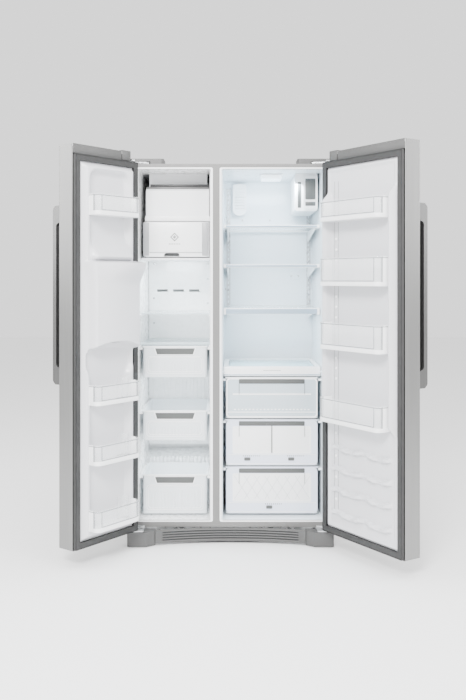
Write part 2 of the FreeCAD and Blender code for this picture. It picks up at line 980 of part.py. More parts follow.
node(
    "filter_cap",
    "cabinet",
    fuse(
        "filter_cap",
        slab("cap", (338, 402), (147, 156), (1508, 1656), "y", 8),
        slab("bead", (346, 394), (143, 148), (1516, 1528), "y", 4),
    ),
)
node(
    "deli_cover",
    "cabinet",
    fuse(
        "deli_cover",
        slab("lid", (-31, 408), (d.front_line + 4, 478), (764, 770), "z", 6),
        slab("nosing", (-18, 397), (d.front_line - 2, d.front_line + 8), (740, 780), "x", 3),
    ),
)
crisper_x = (-21, 397)
slider_slots = {
    "slider_left": (60, "crisper_middle"),
    "slider_right": (260, "crisper_middle"),
    "slider_lower": (160, "crisper_lower"),
}


def slider_height(holder):
    """Middle of the slider band on a drawer front."""
    return size(crispers[holder][0] + 30)


for label, (low, high, back) in crispers.items():
    drawer = pull_out(label, crisper_x, (low, high), back, 5, 190)
    slots = [
        block(
            "slot",
            (x, x + 70),
            (d.front_line - 5, d.front_line + 1.6),
            (slider_height(label) - 3, slider_height(label) + 3),
        )
        for x, holder in slider_slots.values()
        if holder == label
    ]
    node(label, "cabinet", cut(label, drawer, *slots) if slots else drawer)
for label, (x, holder) in slider_slots.items():
    z = slider_height(holder)
    node(
        label,
        "cabinet",
        fuse(
            label,
            slab("knob", (x + 2, x + 30), (d.front_line - 6, d.front_line - 0.5), (z - 7, z + 7), "y", 4),
            block("tongue", (x + 10, x + 22), (d.front_line - 1, d.front_line + 1.2), (z - 2.6, z + 2.6)),
        ),
    )


# ---------------------------------------------------------------- doors
def door_panel(label, side, far):
    """Hollow steel door: skin, notched top corner and the two bored hinge blocks."""
    near = -d.hinge_in
    outer = slab(
        label,
        ordered(side * near, side * far),
        (outer_face, inner_face),
        (d.door_low, d.door_high),
        "z",
        d.door_round,
    )
    hollow = block(
        "hollow",
        ordered(side * (near + d.skin), side * (far - d.skin)),
        (outer_face + d.skin, inner_face + 1),
        (d.door_low + d.skin, d.door_high - 12),
    )
    notch = block(
        "notch",
        ordered(side * (near - 1), side * 44),
        (-28, inner_face + 1),
        (d.cab_top - 10, d.door_high + 1),
    )
    seat = block(
        "seat",
        ordered(side * (near + 0.2), side * 46),
        (-30, inner_face - 0.2),
        (d.cab_top - 40, d.cab_top - 10),
    )
    wall = block(
        "notch_wall",
        ordered(side * (near + 0.2), side * 46),
        (-30, -28),
        (d.cab_top - 12, d.door_high - 2),
    )
    wall_end = block(
        "notch_end",
        ordered(side * 44, side * 46),
        (-30, inner_face - 0.2),
        (d.cab_top - 12, d.door_high - 2),
    )
    lower = block(
        "lower_seat",
        ordered(side * (near + 0.2), side * 26),
        (-30, 30),
        (d.door_low, d.door_low + 40),
    )
    bores = [
        rod("bore", "z", (0, 0), (d.cab_top - 38, d.cab_top), d.pin_radius + d.pin_play),
        rod("bore", "z", (0, 0), (d.door_low - 1, d.door_low + 32), d.pin_radius + d.pin_play),
    ]
    skin = cut(label, outer, hollow, notch)
    return cut(label, fuse(label, skin, seat, wall, wall_end, lower), *bores)


def gasket(label, side, far):
    """Ring seal between the door and the front frame."""
    near = -d.hinge_in + d.gasket_in
    outer = slab(
        label,
        ordered(side * near, side * far),
        (inner_face, inner_face + d.gasket_thick),
        (d.gasket_low, d.gasket_high),
        "y",
        5,
    )
    wide = d.gasket_wide
    inner = block(
        "inside",
        ordered(side * (near + wide), side * (far - wide)),
        (inner_face - 1, inner_face + d.gasket_thick + 1),
        (d.gasket_low + wide, d.gasket_high - wide),
    )
    return cut(label, outer, inner)


def dike(side, near, far, z):
    """Raised rim down one side of the door liner, S-curved at its ends."""
    low, high = z
    root = inner_face + 3
    outline = [
        (root, low),
        (root + 16, low),
        (root + 34, low + 30),
        (root + 34, high - 30),
        (root + 16, high),
        (root, high),
    ]
    return plate("dike", "x", outline, ordered(side * near, side * far), [((2, 3), 40)])


def door_bins(side, near, far, levels):
    """The liner's bins: deep trays with rounded noses."""
    bins = []
    for low, high in levels:
        bins.append(
            tray(
                "bin",
                ordered(side * near, side * far),
                (inner_face + 9, d.bin_depth),
                (low, high),
                d.bin_wall,
                12,
                size(5),
            )
        )
    return bins


def handle(label, side, far):
    """Bar on two solid ends that stand off the door."""
    middle = far - d.handle_from_edge
    near_edge, far_edge = middle - d.handle_wide / 2, middle + d.handle_wide / 2
    front = outer_face - d.handle_reach
    outline = [
        (outer_face - 0.1, d.handle_low),
        (front + 14, d.handle_low),
        (front, d.handle_low + 14),
        (front, d.handle_high - 14),
        (front + 14, d.handle_high),
        (outer_face - 0.1, d.handle_high),
        (outer_face - 0.1, d.handle_high - d.handle_foot),
        (front + d.handle_deep, d.handle_high - d.handle_foot - 14),
        (front + d.handle_deep, d.handle_low + d.handle_foot + 14),
        (outer_face - 0.1, d.handle_low + d.handle_foot),
    ]
    return plate(
        label,
        "x",
        outline,
        ordered(side * near_edge, side * far_edge),
        [((2, 3), 12), ((7, 8), 14)],
    )


freezer_far = d.freezer_door_width - d.hinge_in
fresh_far = d.fresh_door_width - d.hinge_in
mouth = (d.niche_left, d.niche_right)
window = block("window", mouth, (outer_face - 1, outer_face + 5), (d.niche_low, d.niche_high))
node(
    "freezer_door_panel",
    "freezer_door",
    cut("freezer_door_panel", door_panel("freezer_door_panel", 1, freezer_far), window),
)
node("fridge_door_panel", "fresh_door", door_panel("fridge_door_panel", -1, fresh_far))
node("freezer_door_gasket", "freezer_door", gasket("freezer_door_gasket", 1, freezer_far - 3.5))
node("fridge_door_gasket", "fresh_door", gasket("fridge_door_gasket", -1, fresh_far - 3.5))
node("freezer_handle", "freezer_door", handle("freezer_handle", 1, freezer_far))
node("fridge_handle", "fresh_door", handle("fridge_handle", -1, fresh_far))

liner_z = (d.gasket_low + d.gasket_wide + 0.3, d.gasket_high - d.gasket_wide - 0.3)
liner_near = d.gasket_in - d.hinge_in + d.gasket_wide + 0.3


def liner_sheet(label, side, far):
    """Flat moulded sheet that closes the back of the door inside its seal."""
    edge = far - 3.5 - d.gasket_wide - 0.3
    return slab(
        label,
        ordered(side * liner_near, side * edge),
        (inner_face + 0.1, inner_face + 6),
        liner_z,
        "y",
        8,
    )


bulge = slab("bulge", (62, 312), (inner_face + 1, d.bulge_depth), (d.bulge_low, d.bulge_high), "y", 30)
bulge_hollow = slab(
    "bulge_hollow",
    (66, 308),
    (inner_face - 2, d.bulge_depth - 4),
    (d.bulge_low + 4, d.bulge_high - 4),
    "y",
    26,
)
freezer_dikes = [
    dike(1, *width, z)
    for width in ((36, 58), (316, 338))
    for z in ((112, 890), (1270, 1655))
]
node(
    "freezer_door_liner",
    "freezer_door",
    cut(
        "freezer_door_liner",
        fuse("freezer_door_liner", liner_sheet("liner", 1, freezer_far), bulge, *freezer_dikes),
        bulge_hollow,
    ),
)
fresh_dikes = [dike(-1, *width, z) for width in ((36, 62), (442, 468)) for z in ((112, 1655),)]
wave_ledges = [
    slab("wave", ordered(-64, -440), (inner_face + 4, inner_face + 30), (z, z + 16), "x", 7)
    for z in (454, 363, 272, 175)
]
node(
    "fridge_door_liner",
    "fresh_door",
    fuse("fridge_door_liner", liner_sheet("liner", -1, fresh_far), *fresh_dikes, *wave_ledges),
)
node(
    "freezer_bins",
    "freezer_door",
    *door_bins(1, size(60), size(314), [(1443, 1529), (664, 747), (420, 503), (149, 236)]),
)
node(
    "fridge_bins",
    "fresh_door",
    *door_bins(-1, size(64), size(440), [(1425, 1510), (1152, 1270), (884, 997), (575, 677)]),
)

# Ice and water dispenser: a lined niche through the door face.
niche_back = size(92)
niche_body = slab(
    "niche",
    (mouth[0] + 0.4, mouth[1] - 0.4),
    (outer_face - 0.2, niche_back),
    (d.niche_low + 0.4, d.niche_high - 0.4),
    "y",
    10,
)
bezel = slab(
    "bezel",
    (mouth[0] - 8, mouth[1] + 8),
    (outer_face - 4, outer_face - 0.1),
    (d.niche_low - 8, d.niche_high + 8),
    "y",
    14,
)
niche_hollow = slab(
    "niche_hollow",
    (mouth[0] + 8, mouth[1] - 8),
    (outer_face - 10, niche_back - 6),
    (d.niche_low + 8, 1140),
    "y",
    1,
)
spout = rod("spout", "z", (190, 4), (1118, 1142), 22)
spout_bore = rod("spout_bore", "z", (190, 4), (1110, 1180), 18)
lugs = [block("lug", (x, x + 6), (28, 42), (1112, 1142)) for x in (134, 240)]
paddle_bore = rod("pivot_bore", "x", (35, 1122), (120, 260), 2.55)
node(
    "dispenser_housing",
    "freezer_door",
    cut(
        "dispenser_housing",
        fuse(
            "dispenser_housing",
            cut("niche", fuse("niche", niche_body, bezel), niche_hollow),
            spout,
            *lugs,
        ),
        spout_bore,
        paddle_bore,
    ),
)
node(
    "dispenser_paddle",
    "freezer_door",
    fuse(
        "dispenser_paddle",
        rod("pivot", "x", (35, 1122), (134.5, 245.5), 2.5),
        slab("barrel", (141, 239), (31, 39), (1118, 1126), "x", 3.5),
        slab("blade", (158, 222), (33, 37), (1010, 1121), "y", 14),
    ),
)
drip_outer = slab(
    "drip_tray",
    (mouth[0] + 9, mouth[1] - 9),
    (outer_face + 3, 84),
    (d.niche_low + 8.2, d.niche_low + 24),
    "z",
    10,
)
drip_bars = [
    slab("gap", (x, x + 6), (outer_face + 12, 76), (d.niche_low + 12, d.niche_low + 30), "z", 2.5)
    for x in row(11, 119, 13)
]
node("drip_tray", "freezer_door", cut("drip_tray", drip_outer, *drip_bars))

# ---------------------------------------------------------------- checks and export
doc.recompute()
for item in doc.Objects:
    if "Invalid" in item.State or "Error" in item.State:
        raise RuntimeError(f"{item.Name} is {item.State}")
os.makedirs("parts", exist_ok=True)
for item in nodes:
    if item.Shape.isNull() or not item.Shape.isValid():
        raise RuntimeError(f"{item.Label} has no valid shape")
    item.Shape.exportStep(f"parts/{item.Label}.step")
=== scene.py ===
import json
import logging
import math
from dataclasses import dataclass
from enum import Enum
from typing import Sequence

import bmesh
import bpy
import numpy as np
from mathutils import Matrix, Vector


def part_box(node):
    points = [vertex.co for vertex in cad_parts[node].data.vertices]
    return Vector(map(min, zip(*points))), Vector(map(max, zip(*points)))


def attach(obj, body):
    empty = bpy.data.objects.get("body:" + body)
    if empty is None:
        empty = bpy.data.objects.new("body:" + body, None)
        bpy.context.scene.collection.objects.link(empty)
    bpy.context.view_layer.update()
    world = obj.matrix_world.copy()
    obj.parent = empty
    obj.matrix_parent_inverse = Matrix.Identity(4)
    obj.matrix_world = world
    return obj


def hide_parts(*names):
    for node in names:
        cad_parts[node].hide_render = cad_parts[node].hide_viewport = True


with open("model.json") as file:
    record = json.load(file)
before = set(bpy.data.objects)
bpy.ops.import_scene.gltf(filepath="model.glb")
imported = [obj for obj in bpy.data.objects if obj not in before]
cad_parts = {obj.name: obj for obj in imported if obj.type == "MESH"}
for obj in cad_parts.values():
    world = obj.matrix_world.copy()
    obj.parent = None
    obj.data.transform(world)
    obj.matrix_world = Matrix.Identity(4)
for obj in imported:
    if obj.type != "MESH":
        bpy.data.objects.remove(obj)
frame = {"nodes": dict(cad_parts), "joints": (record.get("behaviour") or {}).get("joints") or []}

log = logging.getLogger("side_by_side_refrigerator")

MM = 0.001
CREASE = math.radians(38)
Point = tuple[float, float, float]
Pair = tuple[float, float]
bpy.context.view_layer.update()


# ---------------------------------------------------------------- shader groups
class Tree:
    """Short hand for filling a node tree."""

    def __init__(self, tree: bpy.types.NodeTree) -> None:
        """Keeps the tree that nodes go into."""
        self.tree = tree

    def add(self, kind: str, settings: dict | None = None, **inputs: object) -> bpy.types.Node:
        """Adds one node.

        Args:
            kind: Blender's name for the node type.
            settings: Properties of the node, such as its operation.
            **inputs: Values or output sockets for the inputs, with _ for a space in a name.

        Returns:
            The new node.
        """
        node = self.tree.nodes.new(kind)
        for key, value in (settings or {}).items():
            setattr(node, key, value)
        for key, value in inputs.items():
            socket = node.inputs[int(key[1:]) if key[1:].isdigit() else key.replace("_", " ")]
            if isinstance(value, bpy.types.NodeSocket):
                self.tree.links.new(value, socket)
            else:
                socket.default_value = value
        return node

    def math(self, operation: str, first: object, second: object) -> bpy.types.NodeSocket:
        """Returns the result of a Math node on two values or sockets."""
        return self.add("ShaderNodeMath", {"operation": operation}, _0=first, _1=second).outputs[0]

    def noise(self, vector: object, scale: object, detail: float = 3.0) -> bpy.types.NodeSocket:
        """Returns a noise factor between 0 and 1."""
        node = self.add("ShaderNodeTexNoise", None, Vector=vector, Scale=scale, Detail=detail)
        return node.outputs["Fac"]

    def around(self, factor: object, spread: object) -> bpy.types.NodeSocket:
        """Returns 1 plus the factor's distance from a half, times the spread."""
        return self.math("ADD", self.math("MULTIPLY", self.math("SUBTRACT", factor, 0.5), spread), 1.0)

    def tinted(self, colour: object, factor: object) -> bpy.types.NodeSocket:
        """Returns the colour times a factor."""
        node = self.add("ShaderNodeVectorMath", {"operation": "SCALE"}, _0=colour, Scale=factor)
        return node.outputs[0]


def shader_group(
    name: str, inputs: dict[str, str], outputs: dict[str, str]
) -> tuple[bpy.types.NodeTree, Tree]:
    """Makes an empty shader group with named sockets.

    Args:
        name: The group's name.
        inputs: Each input's name and its socket type.
        outputs: Each output's name and its socket type.

    Returns:
        The node group and the short hand that fills it.
    """
    group = bpy.data.node_groups.new(name, "ShaderNodeTree")
    for side, sockets in (("INPUT", inputs), ("OUTPUT", outputs)):
        for label, kind in sockets.items():
            group.interface.new_socket(name=label, in_out=side, socket_type=kind)
    return group, Tree(group)


def moulding_group() -> bpy.types.NodeTree:
    """Builds the look of moulded plastic: soft cloudiness, fine grain and uneven gloss.

    Returns:
        A group that gives a colour, a roughness and a height.
    """
    group, tree = shader_group(
        "moulding",
        {
            "Tint": "NodeSocketColor",
            "Cloud": "NodeSocketFloat",
            "Grain": "NodeSocketFloat",
            "Gloss": "NodeSocketFloat",
        },
        {"Color": "NodeSocketColor", "Roughness": "NodeSocketFloat", "Height": "NodeSocketFloat"},
    )
    given = tree.add("NodeGroupInput").outputs
    place = tree.add("ShaderNodeTexCoord").outputs["Object"]
    cloud = tree.noise(place, 7.0, 4.0)
    grain = tree.noise(place, given["Grain"], 2.0)
    smear = tree.noise(place, 38.0, 5.0)
    colour = tree.tinted(given["Tint"], tree.around(cloud, given["Cloud"]))
    rough = tree.math("MULTIPLY", given["Gloss"], tree.around(smear, 0.5))
    tree.add("NodeGroupOutput", None, Color=colour, Roughness=rough, Height=grain)
    return group


def brushing_group() -> bpy.types.NodeTree:
    """Builds the look of brushed sheet metal: long streaks over soft broad bands.

    Returns:
        A group that gives a colour, a roughness and a height.
    """
    group, tree = shader_group(
        "brushing",
        {
            "Tint": "NodeSocketColor",
            "Stretch": "NodeSocketVector",
            "Streak": "NodeSocketFloat",
            "Gloss": "NodeSocketFloat",
        },
        {"Color": "NodeSocketColor", "Roughness": "NodeSocketFloat", "Height": "NodeSocketFloat"},
    )
    given = tree.add("NodeGroupInput").outputs
    place = tree.add("ShaderNodeTexCoord").outputs["Object"]
    stretched = tree.add("ShaderNodeVectorMath", {"operation": "MULTIPLY"}, _0=place, _1=given["Stretch"])
    drawn = stretched.outputs[0]
    streak = tree.noise(drawn, 1.0, 6.0)
    band = tree.noise(place, 1.6, 2.0)
    shade = tree.math("MULTIPLY", tree.around(streak, given["Streak"]), tree.around(band, 0.16))
    colour = tree.tinted(given["Tint"], shade)
    rough = tree.math("MULTIPLY", given["Gloss"], tree.around(streak, 0.6))
    tree.add("NodeGroupOutput", None, Color=colour, Roughness=rough, Height=streak)
    return group


def spangle_group() -> bpy.types.NodeTree:
    """Builds the look of zinc plating: angular crystals that each catch the light their own way.

    Returns:
        A group that gives a colour, a roughness and a height.
    """
    group, tree = shader_group(
        "spangle",
        {
            "Tint": "NodeSocketColor",
            "Crystals": "NodeSocketFloat",
            "Contrast": "NodeSocketFloat",
            "Gloss": "NodeSocketFloat",
        },
        {"Color": "NodeSocketColor", "Roughness": "NodeSocketFloat", "Height": "NodeSocketFloat"},
    )
    given = tree.add("NodeGroupInput").outputs
    place = tree.add("ShaderNodeTexCoord").outputs["Object"]
    cells = tree.add("ShaderNodeTexVoronoi", None, Vector=place, Scale=given["Crystals"])
    tone = tree.add("ShaderNodeSeparateColor", None, Color=cells.outputs["Color"]).outputs["Red"]
    colour = tree.tinted(given["Tint"], tree.around(tone, given["Contrast"]))
    rough = tree.math("MULTIPLY", given["Gloss"], tree.around(tone, 0.7))
    tree.add("NodeGroupOutput", None, Color=colour, Roughness=rough, Height=cells.outputs["Distance"])
    return group


def dust_group() -> bpy.types.NodeTree:
    """Builds a thin uneven film of dust that dulls a colour.

    Returns:
        A group that gives a colour.
    """
    group, tree = shader_group(
        "dust",
        {"Color": "NodeSocketColor", "Amount": "NodeSocketFloat"},
        {"Color": "NodeSocketColor"},
    )
    given = tree.add("NodeGroupInput").outputs
    place = tree.add("ShaderNodeTexCoord").outputs["Object"]
    film = tree.math("MULTIPLY", tree.noise(place, 14.0, 6.0), given["Amount"])
    mixed = tree.add(
        "ShaderNodeMix",
        {"data_type": "RGBA"},
        _0=film,
        _6=given["Color"],
        _7=(0.42, 0.40, 0.37, 1.0),
    )
    tree.add("NodeGroupOutput", None, Color=mixed.outputs[2])
    return group


GROUPS: dict[str, bpy.types.NodeTree] = {
    "moulding": moulding_group(),
    "brushing": brushing_group(),
    "spangle": spangle_group(),
    "dust": dust_group(),
}


# ---------------------------------------------------------------- finishes
@dataclass(frozen=True)
class Finish:
    """One finish: a shader group's pattern on a Principled surface."""

    tint: Point
    gloss: float = 0.4
    pattern: str = "moulding"
    strength: float = 0.04
    size: float = 700.0
    bump: float = 0.06
    metallic: float = 0.0
    alpha: float = 1.0
    transmission: float = 0.0
    coat: float = 0.0
    glow: float = 0.0
    dust: float = 0.0
    stretch: Point = (260.0, 260.0, 3.0)

    def material(self, name: str) -> bpy.types.Material:
        """Builds the finish's material.

        Args:
            name: The material's name.

        Returns:
            The new material.
        """
        made = bpy.data.materials.new(name)
        made.use_nodes = True
        made.node_tree.nodes.clear()
        tree = Tree(made.node_tree)
        pattern = self.pattern_node(tree)
        colour = pattern.outputs["Color"]
        if self.dust:
            film = tree.add(
                "ShaderNodeGroup",
                {"node_tree": GROUPS["dust"]},
                Color=colour,
                Amount=self.dust,
            )
            colour = film.outputs["Color"]
        bump = tree.add(
            "ShaderNodeBump",
            None,
            Strength=self.bump,
            Distance=0.001,
            Height=pattern.outputs["Height"],
        )
        surface = tree.add(
            "ShaderNodeBsdfPrincipled",
            None,
            Base_Color=colour,
            Roughness=pattern.outputs["Roughness"],
            Normal=bump.outputs["Normal"],
            Metallic=self.metallic,
            Alpha=self.alpha,
            Transmission_Weight=self.transmission,
            Coat_Weight=self.coat,
        )
        if self.glow:
            surface.inputs["Emission Color"].default_value = (*self.tint, 1.0)
            surface.inputs["Emission Strength"].default_value = self.glow
        tree.add("ShaderNodeOutputMaterial", None, Surface=surface.outputs["BSDF"])
        return made

    def pattern_node(self, tree: Tree) -> bpy.types.Node:
        """Returns the finish's pattern group with its own values set.

        Args:
            tree: The material's tree.

        Returns:
            The group's node.
        """
        node = tree.add(
            "ShaderNodeGroup",
            {"node_tree": GROUPS[self.pattern]},
            Tint=(*self.tint, 1.0),
            Gloss=self.gloss,
        )
        named = {
            "moulding": {"Cloud": self.strength, "Grain": self.size},
            "brushing": {"Streak": self.strength, "Stretch": self.stretch},
            "spangle": {"Contrast": self.strength, "Crystals": self.size},
        }
        for label, value in named[self.pattern].items():
            node.inputs[label].default_value = value
        return node


class Look(Enum):
    """The refrigerator's finishes."""

    DOOR_STEEL = Finish((0.25, 0.25, 0.247), 0.36, "brushing", 0.24, bump=0.05, metallic=0.9)
    HANDLE_STEEL = Finish((0.15, 0.15, 0.149), 0.32, "brushing", 0.2, bump=0.04, metallic=0.9)
    CABINET_PAINT = Finish((0.20, 0.20, 0.197), 0.42, strength=0.06, size=420.0, bump=0.16, coat=0.2)
    GRILLE_GREY = Finish((0.11, 0.11, 0.108), 0.45, strength=0.05, size=500.0, bump=0.1)
    FRAME_GREY = Finish((0.15, 0.148, 0.144), 0.45, strength=0.05, size=500.0, bump=0.1)
    TRIM_GREY = Finish((0.072, 0.072, 0.071), 0.42, strength=0.06, size=560.0, bump=0.1)
    # The doors' liners are the same white plastic as the compartments' liners, drawn lavender grey as
    # painted shade.
    DOOR_LINER = Finish((0.62, 0.622, 0.645), 0.34, strength=0.03, size=260.0, bump=0.04, coat=0.15)
    LINER_WHITE = Finish((0.88, 0.885, 0.885), 0.28, strength=0.02, size=260.0, bump=0.03, coat=0.25)
    BRIGHT_WHITE = Finish((0.90, 0.905, 0.91), 0.3, strength=0.02, size=500.0, bump=0.03, coat=0.2)
    ICE_WHITE = Finish((0.88, 0.885, 0.90), 0.34, strength=0.03, size=420.0, bump=0.05)
    # White plastic tinted blue: painted light of the fresh food compartment's blue lamps.
    COOL_WHITE = Finish((0.80, 0.86, 0.90), 0.3, strength=0.03, size=260.0, bump=0.03, coat=0.25)
    FROSTED = Finish((0.86, 0.90, 0.925), 0.5, strength=0.06, size=800.0, bump=0.12, alpha=0.74)
    CLEAR = Finish((0.93, 0.95, 0.96), 0.08, strength=0.02, size=90.0, bump=0.02, alpha=0.26)
    # Dark grey lines along the clear bins' edges and bends: painted shade.
    CLEAR_EDGE = Finish((0.24, 0.26, 0.27), 0.14, strength=0.05, size=90.0, bump=0.02, alpha=0.66)
    # Grey for painted shade on white plastic: in grooves, on rounded corners and along a channel's walls.
    SHADE_WHITE = Finish((0.34, 0.345, 0.355), 0.34, strength=0.03, size=420.0, bump=0.05)
    PALE_GREY = Finish((0.66, 0.68, 0.69), 0.3, strength=0.03, size=420.0, bump=0.04)
    PALE_CYAN = Finish((0.56, 0.80, 0.88), 0.08, strength=0.03, size=60.0, bump=0.01, alpha=0.72)
    CRISP_BLUE = Finish((0.60, 0.70, 0.76), 0.14, strength=0.06, size=60.0, bump=0.03, alpha=0.72)
    CRISP_CLEAR = Finish((0.90, 0.94, 0.97), 0.12, strength=0.04, size=90.0, bump=0.03, alpha=0.62)
    SHELF_GLASS = Finish((0.72, 0.84, 0.88), 0.05, strength=0.03, size=60.0, bump=0.01, alpha=0.32)
    WINDOW_GREY = Finish((0.074, 0.078, 0.076), 0.4, strength=0.08, size=700.0, bump=0.08)
    BAND_BLUE = Finish((0.68, 0.73, 0.84), 0.34, strength=0.05, size=500.0, bump=0.05)
    EDGE_BLUE = Finish((0.30, 0.39, 0.48), 0.24, strength=0.05, size=300.0, bump=0.04, coat=0.3)
    SEAL = Finish((0.022, 0.022, 0.022), 0.6, strength=0.08, size=900.0, bump=0.2)
    # Near black for painted shade along the seal's outer seam and inner edge.
    SEAL_DARK = Finish((0.008, 0.008, 0.008), 0.6, strength=0.1, size=900.0, bump=0.2)
    # Black for painted shade: in the handle's slot, over the ice maker and in the toe grille's slots.
    BLACK = Finish((0.012, 0.012, 0.013), 0.4, strength=0.1, size=800.0, bump=0.1)
    GLOSS_BLACK = Finish((0.015, 0.016, 0.018), 0.08, strength=0.1, size=60.0, bump=0.01, coat=0.6)
    DARK_PLASTIC = Finish((0.055, 0.056, 0.058), 0.5, strength=0.12, size=640.0, bump=0.14, dust=0.1)
    SATIN_CHROME = Finish((0.74, 0.74, 0.75), 0.2, "brushing", 0.12, bump=0.03, metallic=1.0)
    ZINC = Finish((0.56, 0.57, 0.58), 0.34, "spangle", 0.22, 90.0, 0.04, 0.9, dust=0.12)
    ALUMINIUM = Finish((0.70, 0.71, 0.72), 0.32, "spangle", 0.12, 240.0, 0.04, 1.0, dust=0.08)
    BLACK_PAINT = Finish(
        (0.02, 0.02, 0.021),
        0.32,
        strength=0.12,
        size=220.0,
        bump=0.12,
        coat=0.3,
        dust=0.16,
    )
    FOAM = Finish((0.66, 0.58, 0.34), 0.9, strength=0.16, size=300.0, bump=0.5)
    ROLLER = Finish((0.10, 0.10, 0.105), 0.55, strength=0.14, size=500.0, bump=0.2, dust=0.2)
    LENS = Finish((0.86, 0.94, 1.0), 0.3, strength=0.02, size=120.0, bump=0.05, glow=1.6)
    ICON = Finish((0.80, 0.84, 0.86), 0.5, strength=0.04, size=300.0, bump=0.03, glow=0.25)

    def made(self) -> bpy.types.Material:
        """Returns the look's material, built on its first use."""
        name = f"{self.name.lower()}_finish"
        return bpy.data.materials.get(name) or self.value.material(name)


# ---------------------------------------------------------------- where things stand
@dataclass(frozen=True)
class Placement:
    """Where a group's own millimetre axes stand in the frame."""

    matrix: Matrix

    def settle(self, mesh: bpy.types.Mesh) -> None:
        """Moves a mesh drawn in millimetres to its place, with its faces outwards.

        Args:
            mesh: The mesh to move.
        """
        mesh.transform(self.matrix)
        if self.matrix.determinant() < 0:
            mesh.flip_normals()


def cabinet_placement() -> Placement:
    """Finds the cabinet's centre line and front plane.

    Returns:
        The placement of the cabinet's axes: x across, y back from the front plane, z up.
    """
    low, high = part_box("cabinet_shell")
    spot = Matrix.Translation(((low[0] + high[0]) / 2, low[1], 0))
    return Placement(spot @ Matrix.Diagonal((MM, MM, MM, 1)))


def door_placement(joint_name: str, side: int) -> Placement:
    """Finds a door's axes from its hinge.

    Args:
        joint_name: The door's hinge joint.
        side: 1 for the door hung on the left, -1 for the one hung on the right.

    Returns:
        The placement of the door's axes: x out from the hinge, y through the door to its inside, z up.
    """
    joint = next(item for item in frame["joints"] if item["name"] == joint_name)
    open_angle = math.radians(-joint["range_deg"][0])
    cos, sin = math.cos(open_angle), math.sin(open_angle)
    hinge_x, hinge_y, _ = joint["pos_m"]
    return Placement(
        Matrix(
            (
                (side * cos * MM, side * sin * MM, 0, hinge_x),
                (-sin * MM, cos * MM, 0, hinge_y),
                (0, 0, MM, 0),
                (0, 0, 0, 1),
            )
        )
    )


# ---------------------------------------------------------------- drawing meshes
def arc(centre: Pair, radius: float, start: float, end: float, steps: int = 6) -> list[Pair]:
    """Points along an arc.

    Args:
        centre: The arc's centre.
        radius: Its radius.
        start: The first point's angle in degrees.
        end: The last point's angle in degrees.
        steps: How many straight pieces the arc has.

    Returns:
        The points, both ends included.
    """
    angles = [math.radians(start + (end - start) * step / steps) for step in range(steps + 1)]
    return [(centre[0] + radius * math.cos(a), centre[1] + radius * math.sin(a)) for a in angles]


def rounded(x: Pair, y: Pair, radius: float, steps: int = 5) -> list[Pair]:
    """Returns the outline of a rectangle with round corners.

    Args:
        x: The span across.
        y: The span up.
        radius: The corners' radius.
        steps: The steps in each corner.

    Returns:
        The outline's points, anticlockwise.
    """
    corners = ((x[1], y[0], -90), (x[1], y[1], 0), (x[0], y[1], 90), (x[0], y[0], 180))
    points = []
    for corner_x, corner_y, start in corners:
        inward_x = math.copysign(radius, sum(x) / 2 - corner_x)
        inward_y = math.copysign(radius, sum(y) / 2 - corner_y)
        points += arc((corner_x + inward_x, corner_y + inward_y), radius, start, start + 90, steps)
    return points


def nested(
    x: Pair, y: Pair, radius: float, inset: float, inner: float, steps: int = 5
) -> tuple[list[Pair], list[Pair]]:
    """Returns a rounded oblong's outline and the one drawn in from it.

    Args:
        x: The outer outline's span across.
        y: The outer outline's span up.
        radius: The outer corners' radius.
        inset: The width between the outlines.
        inner: The inner corners' radius.
        steps: The points on each corner.

    Returns:
        The outer and the inner outline.
    """
    outside = rounded(x, y, radius, steps)
    return outside, rounded((x[0] + inset, x[1] - inset), (y[0] + inset, y[1] - inset), inner, steps)


def frost_star(centre: Vector, reach: float, half_width: float) -> list[list[Pair]]:
    """Returns the outlines of three bars that cross as a frost sign's star.

    Args:
        centre: The middle of the star.
        reach: Half of each bar's length.
        half_width: Half of each bar's width.

    Returns:
        The four corners of each bar.
    """
    bars = []
    for lean in (-60, 0, 60):
        turn = math.radians(lean)
        tip = Vector((math.sin(turn), math.cos(turn))) * reach
        side = Vector((math.cos(turn), -math.sin(turn))) * half_width
        corners = (tip + side, tip - side, -tip - side, -tip + side)
        bars.append([tuple(centre + corner) for corner in corners])
    return bars


def mouth_rim(outer: Pair, inner: Pair) -> "Shape":
    """Returns the raised rim round a compartment's mouth.

    Args:
        outer: The rim's outer span across.
        inner: The rim's inner span across.

    Returns:
        The rim.
    """
    low, high, width, radius = 95, 1680, 6, 8
    inside = rounded(inner, (low + width, high - width), radius)
    return Shape().ring(rounded(outer, (low, high), radius), inside, "y", (-0.3, 8))


def eased(low: float, high: float, value: np.ndarray) -> np.ndarray:
    """Returns 0 before low, 1 after high and a smooth rise between."""
    part = np.clip((value - low) / (high - low), 0.0, 1.0)
    return part * part * (3.0 - 2.0 * part)


